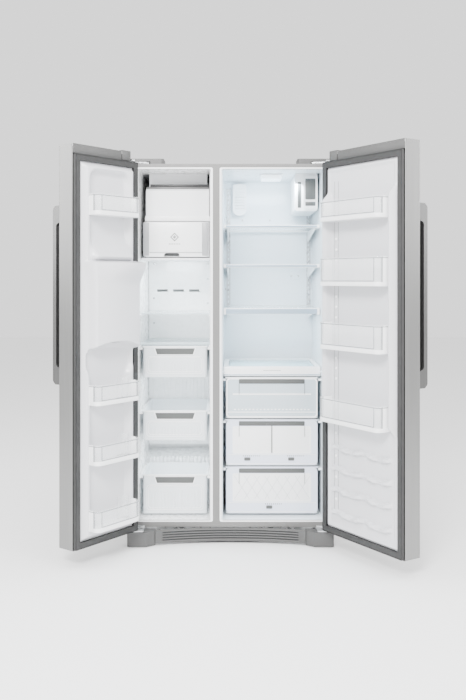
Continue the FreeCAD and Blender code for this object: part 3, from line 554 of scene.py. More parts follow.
class Shape:
    """Collects the closed solids of one piece, in millimetres."""

    def __init__(self) -> None:
        """Starts an empty shape."""
        self.mesh = bmesh.new()

    def slab(self, x: Pair, y: Pair, z: Pair, bevel: float = 1.0, steps: int = 2) -> "Shape":
        """Adds a block with rounded edges.

        Args:
            x: Its two ends across.
            y: Its two ends in depth.
            z: Its bottom and top.
            bevel: The radius of its edges.
            steps: How many facets each round edge has.

        Returns:
            The shape itself.
        """
        made = bmesh.ops.create_cube(self.mesh, size=1.0)["verts"]
        size = Vector((x[1] - x[0], y[1] - y[0], z[1] - z[0]))
        middle = Vector((sum(x) / 2, sum(y) / 2, sum(z) / 2))
        for vertex in made:
            vertex.co = Vector([a * b for a, b in zip(vertex.co, size)]) + middle
        edges = list({edge for vertex in made for edge in vertex.link_edges})
        radius = min(bevel, min(size) * 0.45)
        bmesh.ops.bevel(self.mesh, geom=edges, offset=radius, segments=steps, profile=0.5, affect="EDGES")
        return self

    def prism(self, outline: Sequence[Pair], axis: str, span: Pair, bevel: float = 0.0) -> "Shape":
        """Adds an outline drawn through a span.

        Args:
            outline: Points in the plane across the axis: (x, y), (x, z) or (y, z).
            axis: The axis it is drawn along.
            span: Its two ends along that axis.
            bevel: The radius of the edges at its two ends.

        Returns:
            The shape itself.
        """
        slot = "xyz".index(axis)
        rings = []
        for end in span:
            ring = []
            for point in outline:
                spot = list(point)
                spot.insert(slot, end)
                ring.append(self.mesh.verts.new(spot))
            rings.append(ring)
        caps = [self.mesh.faces.new(ring) for ring in rings]
        count = len(outline)
        sides = []
        for index in range(count):
            other = (index + 1) % count
            sides.append(
                self.mesh.faces.new((rings[0][index], rings[0][other], rings[1][other], rings[1][index])),
            )
        bmesh.ops.recalc_face_normals(self.mesh, faces=caps + sides)
        if bevel:
            edges = list({edge for cap in caps for edge in cap.edges})
            bmesh.ops.bevel(self.mesh, geom=edges, offset=bevel, segments=2, profile=0.5, affect="EDGES")
        return self

    def ring(self, outer: Sequence[Pair], inner: Sequence[Pair], axis: str, span: Pair) -> "Shape":
        """Adds a frame between two outlines that have the same number of points.

        Args:
            outer: The outer outline, as for prism.
            inner: The inner outline.
            axis: The axis it is drawn along.
            span: Its two ends along that axis.

        Returns:
            The shape itself.
        """
        slot = "xyz".index(axis)
        loops = []
        for outline in (outer, inner):
            for end in span:
                loop = []
                for point in outline:
                    spot = list(point)
                    spot.insert(slot, end)
                    loop.append(self.mesh.verts.new(spot))
                loops.append(loop)
        order = (loops[0], loops[1], loops[3], loops[2])
        faces = []
        count = len(outer)
        for side in range(4):
            near, far = order[side], order[(side + 1) % 4]
            for index in range(count):
                other = (index + 1) % count
                faces.append(self.mesh.faces.new((near[index], near[other], far[other], far[index])))
        bmesh.ops.recalc_face_normals(self.mesh, faces=faces)
        return self

    def dome(self, centre: Point, radii: Point, rings: int = 8) -> "Shape":
        """Adds a rounded pebble, such as a boss or a bead.

        Args:
            centre: Its middle.
            radii: Its three half sizes.
            rings: How finely it is divided.

        Returns:
            The shape itself.
        """
        place = Matrix.Translation(centre) @ Matrix.Diagonal((*radii, 1))
        bmesh.ops.create_uvsphere(
            self.mesh,
            u_segments=rings * 2,
            v_segments=rings,
            radius=1.0,
            matrix=place,
        )
        return self

    def as_mesh(self, name: str) -> bpy.types.Mesh:
        """Returns the shape as a plain mesh and lets go of its working copy.

        Args:
            name: The mesh's name.

        Returns:
            The mesh.
        """
        made = bpy.data.meshes.new(name)
        self.mesh.to_mesh(made)
        self.mesh.free()
        return made


def relief(
    name: str, u: np.ndarray, z: np.ndarray, depth: np.ndarray, root: float, wall: float = 2.6
) -> bpy.types.Mesh:
    """Makes a closed moulded sheet whose face follows a depth at every point.

    Args:
        name: The mesh's name.
        u: The places across.
        z: The places up.
        depth: The face's depth, one row for each place up.
        root: The least depth of the sheet's back.
        wall: The sheet's thickness where it stands clear of the root.

    Returns:
        The mesh, in millimetres, with its faces outwards.
    """
    columns, rows = len(u), len(z)
    made = bmesh.new()
    rims = []
    for heights in (depth, np.maximum(depth - wall, root)):
        sheet = [
            [made.verts.new((u[i], heights[j, i], z[j])) for i in range(columns)]
            for j in range(rows)
        ]
        for low, high in zip(sheet, sheet[1:]):
            for i in range(columns - 1):
                made.faces.new((low[i], high[i], high[i + 1], low[i + 1]))
        right = [row[-1] for row in sheet[1:-1]]
        left = [row[0] for row in sheet[-2:0:-1]]
        rims.append(sheet[0] + right + sheet[-1][::-1] + left)
    front, back = rims
    for i in range(len(front)):
        made.faces.new((front[i - 1], front[i], back[i], back[i - 1]))
    bmesh.ops.recalc_face_normals(made, faces=made.faces)
    mesh = bpy.data.meshes.new(name)
    made.to_mesh(mesh)
    made.free()
    return mesh


# ---------------------------------------------------------------- repeated items
class NodeTool:
    """A Geometry Nodes tree and the way to run it into a plain mesh."""

    def __init__(self, name: str, inputs: dict[str, str]) -> None:
        """Makes the tree with its named inputs.

        Args:
            name: The tree's name.
            inputs: Each input's name and its socket type.
        """
        self.tree = bpy.data.node_groups.new(name, "GeometryNodeTree")
        self.tree.interface.new_socket(name="Geometry", in_out="INPUT", socket_type="NodeSocketGeometry")
        for label, kind in inputs.items():
            self.tree.interface.new_socket(name=label, in_out="INPUT", socket_type=kind)
        self.tree.interface.new_socket(name="Geometry", in_out="OUTPUT", socket_type="NodeSocketGeometry")
        self.make = Tree(self.tree)
        self.given = self.make.add("NodeGroupInput").outputs

    def end(self, geometry: bpy.types.NodeSocket) -> None:
        """Realizes the copies, gives them their material and ends the tree.

        Args:
            geometry: The output that holds the copies.
        """
        real = self.make.add("GeometryNodeRealizeInstances", None, Geometry=geometry).outputs[0]
        dressed = self.make.add(
            "GeometryNodeSetMaterial",
            None,
            Geometry=real,
            Material=self.given["Finish"],
        )
        self.make.add("NodeGroupOutput", None, Geometry=dressed.outputs[0])

    def run(self, name: str, start: bpy.types.Mesh, **values: object) -> bpy.types.Mesh:
        """Runs the tree.

        Args:
            name: The result's name.
            start: The mesh that the tree starts from.
            **values: A value for each input, with _ for a space in its name.

        Returns:
            The result as a plain mesh.
        """
        holder = bpy.data.objects.new(name + "_maker", start)
        bpy.context.scene.collection.objects.link(holder)
        modifier = holder.modifiers.new("maker", "NODES")
        modifier.node_group = self.tree
        sockets = {s.name: s.identifier for s in self.tree.interface.items_tree if s.in_out == "INPUT"}
        for label, value in values.items():
            modifier[sockets[label.replace("_", " ")]] = value
        graph = bpy.context.evaluated_depsgraph_get()
        made = bpy.data.meshes.new_from_object(holder.evaluated_get(graph))
        holder.modifiers.clear()
        bpy.data.objects.remove(holder)
        made.name = name
        return made


def copies_tool() -> NodeTool:
    """Builds the tree that sets a template on every point.

    Returns:
        The tool, with inputs Template, Turn, Size and Finish.
    """
    tool = NodeTool(
        "copies_on_points",
        {
            "Template": "NodeSocketObject",
            "Turn": "NodeSocketVector",
            "Size": "NodeSocketVector",
            "Finish": "NodeSocketMaterial",
        },
    )
    template = tool.make.add("GeometryNodeObjectInfo", None, Object=tool.given["Template"])
    placed = tool.make.add(
        "GeometryNodeInstanceOnPoints",
        None,
        Points=tool.given["Geometry"],
        Instance=template.outputs["Geometry"],
        Rotation=tool.given["Turn"],
        Scale=tool.given["Size"],
    )
    tool.end(placed.outputs[0])
    return tool


def ribs_tool() -> NodeTool:
    """Builds the tree that lays half-round ribs side by side.

    Returns:
        The tool, with inputs Count, Start, Step, Length, Width, Flatten, Turn and Finish.
    """
    tool = NodeTool(
        "bank_of_ribs",
        {
            "Count": "NodeSocketInt",
            "Start": "NodeSocketVector",
            "Step": "NodeSocketVector",
            "Length": "NodeSocketFloat",
            "Width": "NodeSocketFloat",
            "Flatten": "NodeSocketVector",
            "Turn": "NodeSocketVector",
            "Finish": "NodeSocketMaterial",
        },
    )
    make, given = tool.make, tool.given
    line = make.add(
        "GeometryNodeMeshLine",
        None,
        Count=given["Count"],
        Start_Location=given["Start"],
        Offset=given["Step"],
    )
    half = make.math("MULTIPLY", given["Width"], 0.5)
    rib = make.add("GeometryNodeMeshCylinder", None, Vertices=14, Radius=half, Depth=given["Length"])
    placed = make.add(
        "GeometryNodeInstanceOnPoints",
        None,
        Points=line.outputs[0],
        Instance=rib.outputs["Mesh"],
        Rotation=given["Turn"],
        Scale=given["Flatten"],
    )
    tool.end(placed.outputs[0])
    return tool


def slats_tool() -> NodeTool:
    """Builds the tree that draws bowed slats one above another.

    Returns:
        The tool, with inputs Half Width, Bow, Front, Rows, Base, Pitch, Thickness, Depth and Finish.
    """
    tool = NodeTool(
        "bowed_slats",
        {
            "Half Width": "NodeSocketFloat",
            "Bow": "NodeSocketFloat",
            "Front": "NodeSocketFloat",
            "Rows": "NodeSocketInt",
            "Base": "NodeSocketFloat",
            "Pitch": "NodeSocketFloat",
            "Thickness": "NodeSocketFloat",
            "Depth": "NodeSocketFloat",
            "Reach": "NodeSocketFloat",
            "Finish": "NodeSocketMaterial",
        },
    )
    make, given = tool.make, tool.given
    left = make.add("ShaderNodeCombineXYZ", None, X=make.math("MULTIPLY", given["Half Width"], -1.0))
    right = make.add("ShaderNodeCombineXYZ", None, X=given["Half Width"])
    line = make.add("GeometryNodeCurvePrimitiveLine", None, Start=left.outputs[0], End=right.outputs[0])
    dense = make.add("GeometryNodeResampleCurve", None, Curve=line.outputs[0], Count=49)
    place = make.add("GeometryNodeInputPosition").outputs[0]
    across = make.add("ShaderNodeSeparateXYZ", None, Vector=place).outputs["X"]
    part = make.math("DIVIDE", across, given["Reach"])
    drop = make.math("MULTIPLY", make.math("MULTIPLY", part, part), given["Bow"])
    depth = make.math("ADD", drop, given["Front"])
    spot = make.add("ShaderNodeCombineXYZ", None, X=across, Y=depth)
    bowed = make.add("GeometryNodeSetPosition", None, Geometry=dense.outputs[0], Position=spot.outputs[0])
    section = make.add(
        "GeometryNodeCurvePrimitiveQuadrilateral",
        None,
        Width=given["Depth"],
        Height=given["Thickness"],
    )
    soft = make.add("GeometryNodeFilletCurve", None, Curve=section.outputs[0])
    radius = make.math("MULTIPLY", given["Thickness"], 0.3)
    make.tree.links.new(radius, soft.inputs["Radius"])
    slat = make.add(
        "GeometryNodeCurveToMesh",
        None,
        Curve=bowed.outputs[0],
        Profile_Curve=soft.outputs[0],
    )
    slat.inputs["Fill Caps"].default_value = True
    first = make.add("ShaderNodeCombineXYZ", None, Z=given["Base"])
    step = make.add("ShaderNodeCombineXYZ", None, Z=given["Pitch"])
    line = make.add(
        "GeometryNodeMeshLine",
        None,
        Count=given["Rows"],
        Start_Location=first.outputs[0],
        Offset=step.outputs[0],
    )
    placed = make.add(
        "GeometryNodeInstanceOnPoints",
        None,
        Points=line.outputs[0],
        Instance=slat.outputs[0],
    )
    tool.end(placed.outputs[0])
    return tool


COPIES = copies_tool()
RIBS = ribs_tool()
SLATS = slats_tool()


def points_mesh(places: Sequence[Point]) -> bpy.types.Mesh:
    """Returns a mesh of bare points for a tree to start from.

    Args:
        places: The points.

    Returns:
        The mesh, which has neither edges nor faces.
    """
    made = bpy.data.meshes.new("places")
    made.from_pydata([tuple(place) for place in places], [], [])
    return made


# ---------------------------------------------------------------- assemblies
@dataclass
class Assembly:
    """A group of pieces that share their axes and ride on one body."""

    placement: Placement
    body: str

    def add(
        self, name: str, mesh: bpy.types.Mesh | Shape, look: Look, slot: str, body: str = ""
    ) -> bpy.types.Object:
        """Turns a mesh into a finished piece.

        Args:
            name: The piece's name.
            mesh: Its mesh or shape, in millimetres on the assembly's axes.
            look: Its finish.
            slot: The record's material slot that the finish belongs to; not used.
            body: The body it rides on, if not the assembly's own.

        Returns:
            The new object.
        """
        if isinstance(mesh, Shape):
            mesh = mesh.as_mesh(name)
        self.placement.settle(mesh)
        mesh.materials.clear()
        mesh.materials.append(look.made())
        mesh.shade_smooth()
        mesh.set_sharp_from_angle(angle=CREASE)
        piece = bpy.data.objects.new(name, mesh)
        bpy.context.scene.collection.objects.link(piece)
        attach(piece, body or self.body)
        log.info(
            "%s: %d faces in %s on %s",
            name,
            len(mesh.polygons),
            look.name.lower(),
            body or self.body,
        )
        return piece

    def copies(
        self,
        name: str,
        template: Shape,
        places: Sequence[Point],
        look: Look,
        slot: str,
        turn: Point = (0, 0, 0),
    ) -> bpy.types.Object:
        """Sets a small template on each of a list of places.

        Args:
            name: The piece's name.
            template: One item, drawn round the origin.
            places: Where the copies stand.
            look: Their finish.
            slot: The record's material slot.
            turn: How each copy is turned, in radians.

        Returns:
            The piece that holds all the copies.
        """
        source = bpy.data.objects.new(name + "_template", template.as_mesh(name + "_template"))
        mesh = COPIES.run(
            name, points_mesh(places), Template=source, Turn=turn, Size=(1.0, 1.0, 1.0), Finish=look.made(
            )
        )
        bpy.data.objects.remove(source)
        return self.add(name, mesh, look, slot)

    def ribs(
        self,
        name: str,
        start: Point,
        step: Point,
        count: int,
        length: float,
        width: float,
        look: Look,
        slot: str,
        turn: Point = (0, 0, 0),
        flatten: Point = (1.0, 0.5, 1.0),
    ) -> bpy.types.Object:
        """Lays a bank of half-round ribs.

        Args:
            name: The piece's name.
            start: The middle of the first rib.
            step: The way from one rib to the next.
            count: How many ribs there are.
            length: A rib's length.
            width: Its width.
            look: The finish.
            slot: The record's material slot.
            turn: How each rib is turned from upright, in radians.
            flatten: How a rib's round section is scaled before it is turned.

        Returns:
            The piece that holds the bank.
        """
        mesh = RIBS.run(
            name,
            points_mesh([(0, 0, 0)]),
            Count=count,
            Start=start,
            Step=step,
            Length=length,
            Width=width,
            Flatten=flatten,
            Turn=turn,
            Finish=look.made(),
        )
        return self.add(name, mesh, look, slot)


def screw_head(radius: float, height: float) -> Shape:
    """Draws a domed cross-head screw that faces up.

    Args:
        radius: The head's radius.
        height: How far it stands up.

    Returns:
        The shape, round the origin.
    """
    head = Shape()
    arm, half = radius * 0.5, radius * 0.13
    head.prism(arc((0, 0), radius, 0, 345, 23), "z", (-0.4, height * 0.6), height * 0.25)
    rim = arc((0, 0), radius * 0.72, 0, 330, 11)
    inner = arc((0, 0), radius * 0.42, 0, 330, 11)
    head.ring(rim, inner, "z", (height * 0.4, height * 0.9))
    head.slab((-arm, arm), (-half, half), (height * 0.5, height * 0.72), half * 0.3, 1)
    head.slab((-half, half), (-arm, arm), (height * 0.5, height * 0.72), half * 0.3, 1)
    return head


FACE_FRONT = (math.radians(90), 0.0, 0.0)
FACE_BACK = (math.radians(-90), 0.0, 0.0)
LIE_ACROSS = (0.0, math.radians(90), 0.0)


class Carried(Enum):
    """The finish of each part that keeps its own shape, by its node."""

    ZINC = (
        "back_panel",
        "base_pan",
        "bottom_hinges",
        "leveling_legs",
        "rear_access_cover",
        "shelf_tracks",
        "top_hinges",
    )
    DARK_PLASTIC = (
        "condenser_fan",
        "dispenser_housing",
        "dispenser_paddle",
        "drain_pan",
        "drip_tray",
        "evaporator_fan",
        "fan_shroud",
    )
    TRIM_GREY = ("base_grille", "foot_covers", "hinge_covers")
    SHELF_GLASS = ("basket_cover", "freezer_shelf", "shelf_glass", "deli_cover")
    FROSTED = ("basket_lower", "basket_middle", "basket_upper")
    CRISP_CLEAR = ("crisper_lower", "crisper_middle", "crisper_upper")
    CABINET_PAINT = ("cabinet_shell",)
    BLACK_PAINT = ("compressor",)
    ALUMINIUM = ("condenser_coil", "evaporator")
    BRIGHT_WHITE = ("duct_cover", "filter_housing", "shelf_frames", "water_valve")
    LINER_WHITE = ("evaporator_cover", "freezer_liner")
    # The fresh food liner's blue tint is painted light.
    COOL_WHITE = ("fresh_food_liner",)
    ICE_WHITE = ("ice_bin", "ice_maker", "ice_maker_cover", "filter_cap")
    FOAM = ("foam_insulation",)
    SEAL = ("freezer_door_gasket", "fridge_door_gasket")
    DOOR_STEEL = ("freezer_door_panel", "fridge_door_panel")
    HANDLE_STEEL = ("freezer_handle", "fridge_handle")
    FRAME_GREY = ("front_frame",)
    ROLLER = ("front_rollers", "rear_rollers")
    LENS = ("light_lens",)
    WINDOW_GREY = ("slider_left", "slider_lower", "slider_right")

    @classmethod
    def dress(cls) -> None:
        """Gives every carried node its finish."""
        for group in cls:
            look = Look[group.name]
            for name in group.value:
                mesh = frame["nodes"][name].data
                mesh.materials.clear()
                mesh.materials.append(look.made())
                log.info("%s keeps its shape, in %s", name, look.name.lower())


@dataclass
class Door(Assembly):
    """What both doors share: cap, seal lines with their painted shade, the painted shade in the handle's
    slot, and bins.
    """

    far: float
    levels: tuple[Pair, ...]
    bins_from: float
    bins_to: float
    label: str
    inner_face: float = 37.0
    outer_face: float = -47.0
    low: float = 77.0
    high: float = 1732.0
    liner_from: float = 28.3
    liner_low: float = 105.3
    liner_high: float = 1664.7
    bin_depth: float = 120.0
    bin_root: float = 46.0

    @property
    def liner_to(self) -> float:
        """The liner's edge on the side away from the hinge."""
        return self.far - 29.8

    def build(self) -> None:
        """Builds everything on the door."""
        self.cap()
        self.seal_lines()
        self.handle_web()
        self.liner()
        self.bins()

    def cap(self) -> None:
        """Builds the moulded cap along the door's top and its hinge block."""
        shape = Shape()
        shape.slab((92, self.far - 2), (self.outer_face + 2, self.inner_face + 1), (1692.6, 1733), 2.5)
        shape.slab((35, 88), (-40, self.inner_face + 1), (1694, 1738), 3)
        self.add(f"{self.label}_door_cap", shape, Look.TRIM_GREY, "frame_grey")
        low_cap = Shape()
        low_cap.slab((44, self.far - 2), (self.outer_face + 2, self.inner_face + 0.8), (76, 78.8), 1)
        self.add(f"{self.label}_door_foot_cap", low_cap, Look.TRIM_GREY, "frame_grey")

    def seal_lines(self) -> None:
        """Builds the seal's inner lip and the dark rings of painted shade along its outer and inner
        edges.
        """
        lip, groove = Shape(), Shape()
        edge = self.far - 3.5
        x, z = (2.0, edge), (79.0, 1691.0)

        def outline(step: float) -> list[Pair]:
            """Returns the seal's outline, drawn in by a step."""
            return rounded((x[0] + step, x[1] - step), (z[0] + step, z[1] - step), 3.0, 3)

        lip.ring(outline(14), outline(16.5), "y", (47.6, 49.4))
        self.add(f"{self.label}_door_seal_lip", lip, Look.FRAME_GREY, "seal_grey")
        # Rings of painted shade: the seam at the seal's outer edge and a line at its inner edge.
        groove.ring(outline(0.3), outline(6.0), "y", (46.0, 49.7))
        groove.ring(outline(24.8), outline(26.2), "y", (44.0, 49.4))
        self.add(f"{self.label}_door_seal_groove", groove, Look.SEAL_DARK, "seal_grey")

    def handle_web(self) -> None:
        """Builds a black wall behind the handle's bar: painted shade in the slot between bar and door."""
        bar = self.far - 36
        # Black wall: painted shade in the slot behind the handle's bar.
        shape = Shape().slab((bar - 10.4, bar - 6.4), (-92, self.outer_face + 0.4), (800, 1428), 1)
        self.add(f"{self.label}_handle_web", shape, Look.BLACK, "dark_plastic")

    def places(self) -> tuple[np.ndarray, np.ndarray, np.ndarray, np.ndarray]:
        """Returns the liner's places across and up, and both spread over its face.

        Returns:
            The places across, the places up, and the two grids made of them.
        """
        u = np.linspace(self.liner_from, self.liner_to, int((self.liner_to - self.liner_from) / 4) + 1)
        z = np.linspace(self.liner_low, self.liner_high, int((self.liner_high - self.liner_low) / 5) + 1)
        across, up = np.meshgrid(u, z)
        return u, z, across, up

    def margin(self, across: np.ndarray, up: np.ndarray) -> np.ndarray:
        """Returns how far each place is inside the liner's edge."""
        side = np.minimum(across - self.liner_from, self.liner_to - across)
        return np.minimum(side, np.minimum(up - self.liner_low, self.liner_high - up))

    def liner(self) -> None:
        """Builds the moulded liner, its white plastic drawn grey as painted shade."""
        u, z, across, up = self.places()
        depth = self.face(across, up)
        mesh = relief(f"{self.label}_door_moulded_liner", u, z, depth, self.inner_face + 0.3)
        # The liner's grey is painted shade on white plastic.
        piece = self.add(f"{self.label}_door_moulded_liner", mesh, Look.DOOR_LINER, "liner_white")
        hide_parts(f"{self.label}_door_liner")

    def face(self, across: np.ndarray, up: np.ndarray) -> np.ndarray:
        """Returns the depth of the liner's face at each place."""
        raise NotImplementedError

    def nose(self, inset: float, near: float, far: float, radius: float = 22.0) -> list[Pair]:
        """Returns a bin wall's path from one end round its nose to the other, drawn in by an inset.

        Args:
            inset: The distance the path is drawn in.
            near: The wall's nearer end across.
            far: The wall's further end across.
            radius: The nose's corner radius before it is drawn in.

        Returns:
            The path's points.
        """
        front, round_off = self.bin_depth - inset, radius - inset
        left, right = near + inset, far - inset
        path = [(left, self.bin_root)]
        path += arc((left + round_off, front - round_off), round_off, 180, 90, 7)
        path += arc((right - round_off, front - round_off), round_off, 90, 0, 7)
        return path + [(right, self.bin_root)]

    def nose_band(self, outer: float, inner: float, near: float, far: float) -> list[Pair]:
        """Returns the outline between two of a bin wall's paths.

        Args:
            outer: The outer path's inset.
            inner: The inner path's inset.
            near: The wall's nearer end across.
            far: The wall's further end across.

        Returns:
            The outline's points.
        """
        return self.nose(outer, near, far) + self.nose(inner, near, far)[::-1]

    def bins(self) -> None:
        """Builds the bins: white trays and ends with clear fronts, their bright edges and dark lines of
        painted shade along their edges.
        """
        trays, fronts, edges = Shape(), Shape(), Shape()
        near, far = self.bins_from, self.bins_to
        for low, high in self.levels:
            trays.prism(self.nose(0.0, near, far), "z", (low, low + 5), 1.2)
            trays.prism(self.nose_band(-1.0, 2.4, near, far), "z", (low, low + 17), 0.8)
            for end, inward in ((near, 1), (far, -1)):
                x = sorted((end - inward * 0.8, end + inward * 3.2))
                profile = [
                    (self.bin_root, low + 1),
                    (96, low + 1),
                    (92, high - 6),
                    (88, high),
                    (self.bin_root, high),
                ]
                trays.prism(profile, "x", (x[0], x[1]), 1.2)
                side = sorted((end - inward * 1.1, end + inward * 0.5))
                for place in (93, 99):
                    edges.slab((side[0], side[1]), (place, place + 2.4), (low + 16, high - 3), 0.4, 1)
                corner = sorted((end + inward * 21, end + inward * 24))
                front = (self.bin_depth - 1, self.bin_depth + 0.7)
                edges.slab((corner[0], corner[1]), front, (low + 20, high - 6), 0.4, 1)
            fronts.prism(self.nose_band(0.2, 2.2, near, far), "z", (low + 15, high - 3), 0.0)
            trim = self.nose_band(-0.8, 3.0, near, far)
            fronts.prism(trim, "z", (high - 4, high), 1.0)
            edges.prism(self.nose_band(-1.1, 0.3, near, far), "z", (high - 6.6, high - 3.6), 0.0)
            edges.slab(
                (near + 24, far - 24),
                (self.bin_depth - 0.4, self.bin_depth + 0.7),
                (low + 19, low + 22),
                0.4,
                1,
            )
        piece = self.add(f"{self.label}_door_bin_trays", trays, Look.BRIGHT_WHITE, "clear_plastic")
        self.add(f"{self.label}_door_bin_fronts", fronts, Look.CLEAR, "clear_plastic")
        # Dark lines along the bins' edges: painted shade.
        self.add(f"{self.label}_door_bin_edges", edges, Look.CLEAR_EDGE, "clear_plastic")
        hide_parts(f"{self.label}_bins")


@dataclass
class FreezerDoor(Door):
    """The narrow door, with the dispenser's bulge inside."""

    dike: float = 68.0
    middle: float = 187.0
    half: float = 125.0
    shelf: float = 1258.0
    arch: float = 882.0

    def face(self, across: np.ndarray, up: np.ndarray) -> np.ndarray:
        """Returns the freezer liner's depth: panels, side dikes, scoop, bulge and arch.

        Args:
            across: The places across, spread over the face.
            up: The places up, spread over the face.

        Returns:
            The face's depth at each place.
        """
        root = self.inner_face + 0.4
        off = np.abs(across - self.middle)
        rise = eased(0, 9, self.margin(across, up))
        shoulder = eased(4, 26, self.margin(across, up))
        edge = root + 5.6 * rise + (self.dike - root - 5.6) * shoulder
        corner = np.clip(off - (self.half - 40), 0, None)
        top_side = self.half - off - 0.012 * np.clip(up - 1590, 0, None) ** 2
        top = eased(0, 26, top_side) * eased(0, 30, 1642 - up)
        top = top * eased(self.shelf - 6, self.shelf + 18, up)
        scoop = np.clip((1400 - up) / 142, 0, 1)
        top_floor = 44 + 74 * scoop**2.2
        wide = self.half + 20 * eased(772, 822, up)
        roof = self.arch + 34 * (1 - (off / 150) ** 2)
        low_part = eased(0, 24, wide - off) * eased(0, 22, roof - up)
        low_part = low_part * eased(0, 26, up - 138 - 0.01 * corner**2)
        depth = edge + (44 - edge) * low_part
        depth = depth + (np.minimum(top_floor, edge + 60) - depth) * top
        ledge = eased(1150, 1240, up)
        front = 120 + 36 * ledge * eased(0, 200, 330 - across) - 0.0009 * off**2
        hinge_side = eased(0, 9, across - self.liner_from - 8)
        body = np.minimum(hinge_side, eased(0, 34, self.middle + self.half + 24 - across + 6 * ledge))
        body = body * eased(-10, 8, up - roof) * eased(0, 14, self.shelf + 4 - up)
        return np.maximum(depth, root + (front - root) * body)

    def build(self) -> None:
        """Builds the door and its dispenser's face."""
        super().build()
        self.snuggers()
        self.control_panel()

    def snuggers(self) -> None:
        """Builds the small clear retainer inside each lower bin, with dark lines of painted shade along
        its edges.
        """
        shape, edges = Shape(), Shape()
        for low, high in self.levels[1:]:
            sweep = arc((112, 74), 34, 200, 300, 8)
            shape.prism(sweep + [(x, y + 2) for x, y in sweep[::-1]], "z", (low + 8, high + 14), 0.5)
            shape.slab((68, 82), (58, 61), (low + 8, high + 14), 1)
            # Dark lines along the retainer's foot and edge: painted shade.
            edges.prism(sweep + [(x, y + 7) for x, y in sweep[::-1]], "z", (low + 7, low + 10), 0.5)
            edges.slab((67, 68.6), (57.6, 61.4), (low + 8, high + 14), 0.4, 1)
        self.add("freezer_door_snuggers", shape, Look.CLEAR, "clear_plastic")
        self.add("freezer_door_snugger_edges", edges, Look.CLEAR_EDGE, "clear_plastic")

    def control_panel(self) -> None:
        """Builds the dispenser's touch panel, its keys and plain signs."""
        glass_front, sign_span = -53.0, (-53.6, -52.9)
        glass = Shape().prism(rounded((103, 277), (1150, 1243), 8), "y", (glass_front, -50.5), 0.6)
        self.add("dispenser_touch_glass", glass, Look.GLOSS_BLACK, "dark_plastic")
        rim = Shape().ring(*nested((99, 281), (1146, 1247), 11, 3, 9), "y", (-53.4, -50.6))
        rim.ring(*nested((93, 287), (908, 1252), 14, 3, 12), "y", (-52.6, -50.8))
        self.add("dispenser_bright_rim", rim, Look.SATIN_CHROME, "dark_plastic")
        key = Shape().ring(arc((0, 0), 8.2, 0, 345, 23), arc((0, 0), 7.0, 0, 345, 23), "y", (-0.5, 0.2))
        key_pitch = 33
        keys = [(124 + key_pitch * step, glass_front - 0.1, 1170) for step in range(5)]
        self.copies("dispenser_keys", key, keys, Look.ICON, "dark_plastic")
        signs = Shape()
        water_drop = arc((124, 1206), 7, -210, 30, 10) + [(124, 1221)]
        signs.prism(water_drop, "y", sign_span)
        signs.ring(*nested((150, 164), (1199, 1213), 2, 1.4, 1.5), "y", sign_span)
        for bar in frost_star(Vector((190, 1206)), 9, 0.8):
            signs.prism(bar, "y", sign_span)
        for step in range(4):
            left = 216 + 12 * step
            signs.slab((left, left + 6), sign_span, (1199, 1203 + 5 * step), 0.3, 1)
        self.add("dispenser_signs", signs, Look.ICON, "dark_plastic")


@dataclass
class FreshDoor(Door):
    """The wide door, with deep bins and low can ledges."""

    dike: float = 76.0
    near: float = 47.0
    away: float = 457.0
    ledges: tuple[float, ...] = (454.0, 363.0, 272.0, 175.0)

    def face(self, across: np.ndarray, up: np.ndarray) -> np.ndarray:
        """Returns the fresh food liner's depth: framed panel, S-curved dikes and wavy ledges.

        Args:
            across: The places across, spread over the face.
            up: The places up, spread over the face.

        Returns:
            The face's depth at each place.
        """
        root = self.inner_face + 0.4
        margin = self.margin(across, up)
        sheet = root + 5.6 * eased(0, 9, margin)
        lip = 5.0 * eased(4, 12, margin) * (1 - eased(14, 26, margin))
        reach = eased(548, 600, up) * (1 - eased(1512, 1560, up))
        ridge = np.zeros_like(up)
        for place, inward in ((self.near, 1), (self.away, -1)):
            from_side = (across - place) * inward
            ridge = np.maximum(ridge, eased(-20, -6, from_side) * (1 - eased(7, 20, from_side)))
        depth = sheet + lip + (self.dike - sheet) * ridge * reach
        panel = eased(0, 10, across - 112) * eased(0, 10, 430 - across)
        depth = depth - 5.0 * panel * eased(150, 170, up) * (1 - eased(1600, 1630, up))
        for place in self.ledges:
            wave = place + 5 * np.sin((across - 60) / 28)
            top = eased(-9, -5, up - wave) * (1 - eased(8, 12, up - wave))
            run = eased(62, 76, across) * eased(0, 14, 444 - across)
            bite = 0.75 + 0.25 * np.cos((across - 60) / 14)
            depth = np.maximum(depth, sheet + 20 * top * run * bite)
        return depth

    def build(self) -> None:
        """Builds the door, the painted shade of its upright channel and its bosses."""
        super().build()
        boss = Shape().dome((0, 0, 0), (6.5, 5.0, 6.5), 7)
        levels = [1352, 1306, 1260, 1105, 1060, 1015, 842, 797, 752, 520, 420, 330, 235]
        # Two grey strips: painted shade along the walls of the door's upright channel.
        channel = Shape()
        for place in (78, 104):
            channel.slab((place, place + 2.6), (41.0, 44.9), (180, 1600), 0.7, 1)
        self.add("fridge_door_channel", channel, Look.SHADE_WHITE, "liner_white")
        self.copies(
            "fridge_door_bosses",
            boss,
            [(92, 44.5, level) for level in levels],
            Look.BRIGHT_WHITE,
            "liner_white",
        )


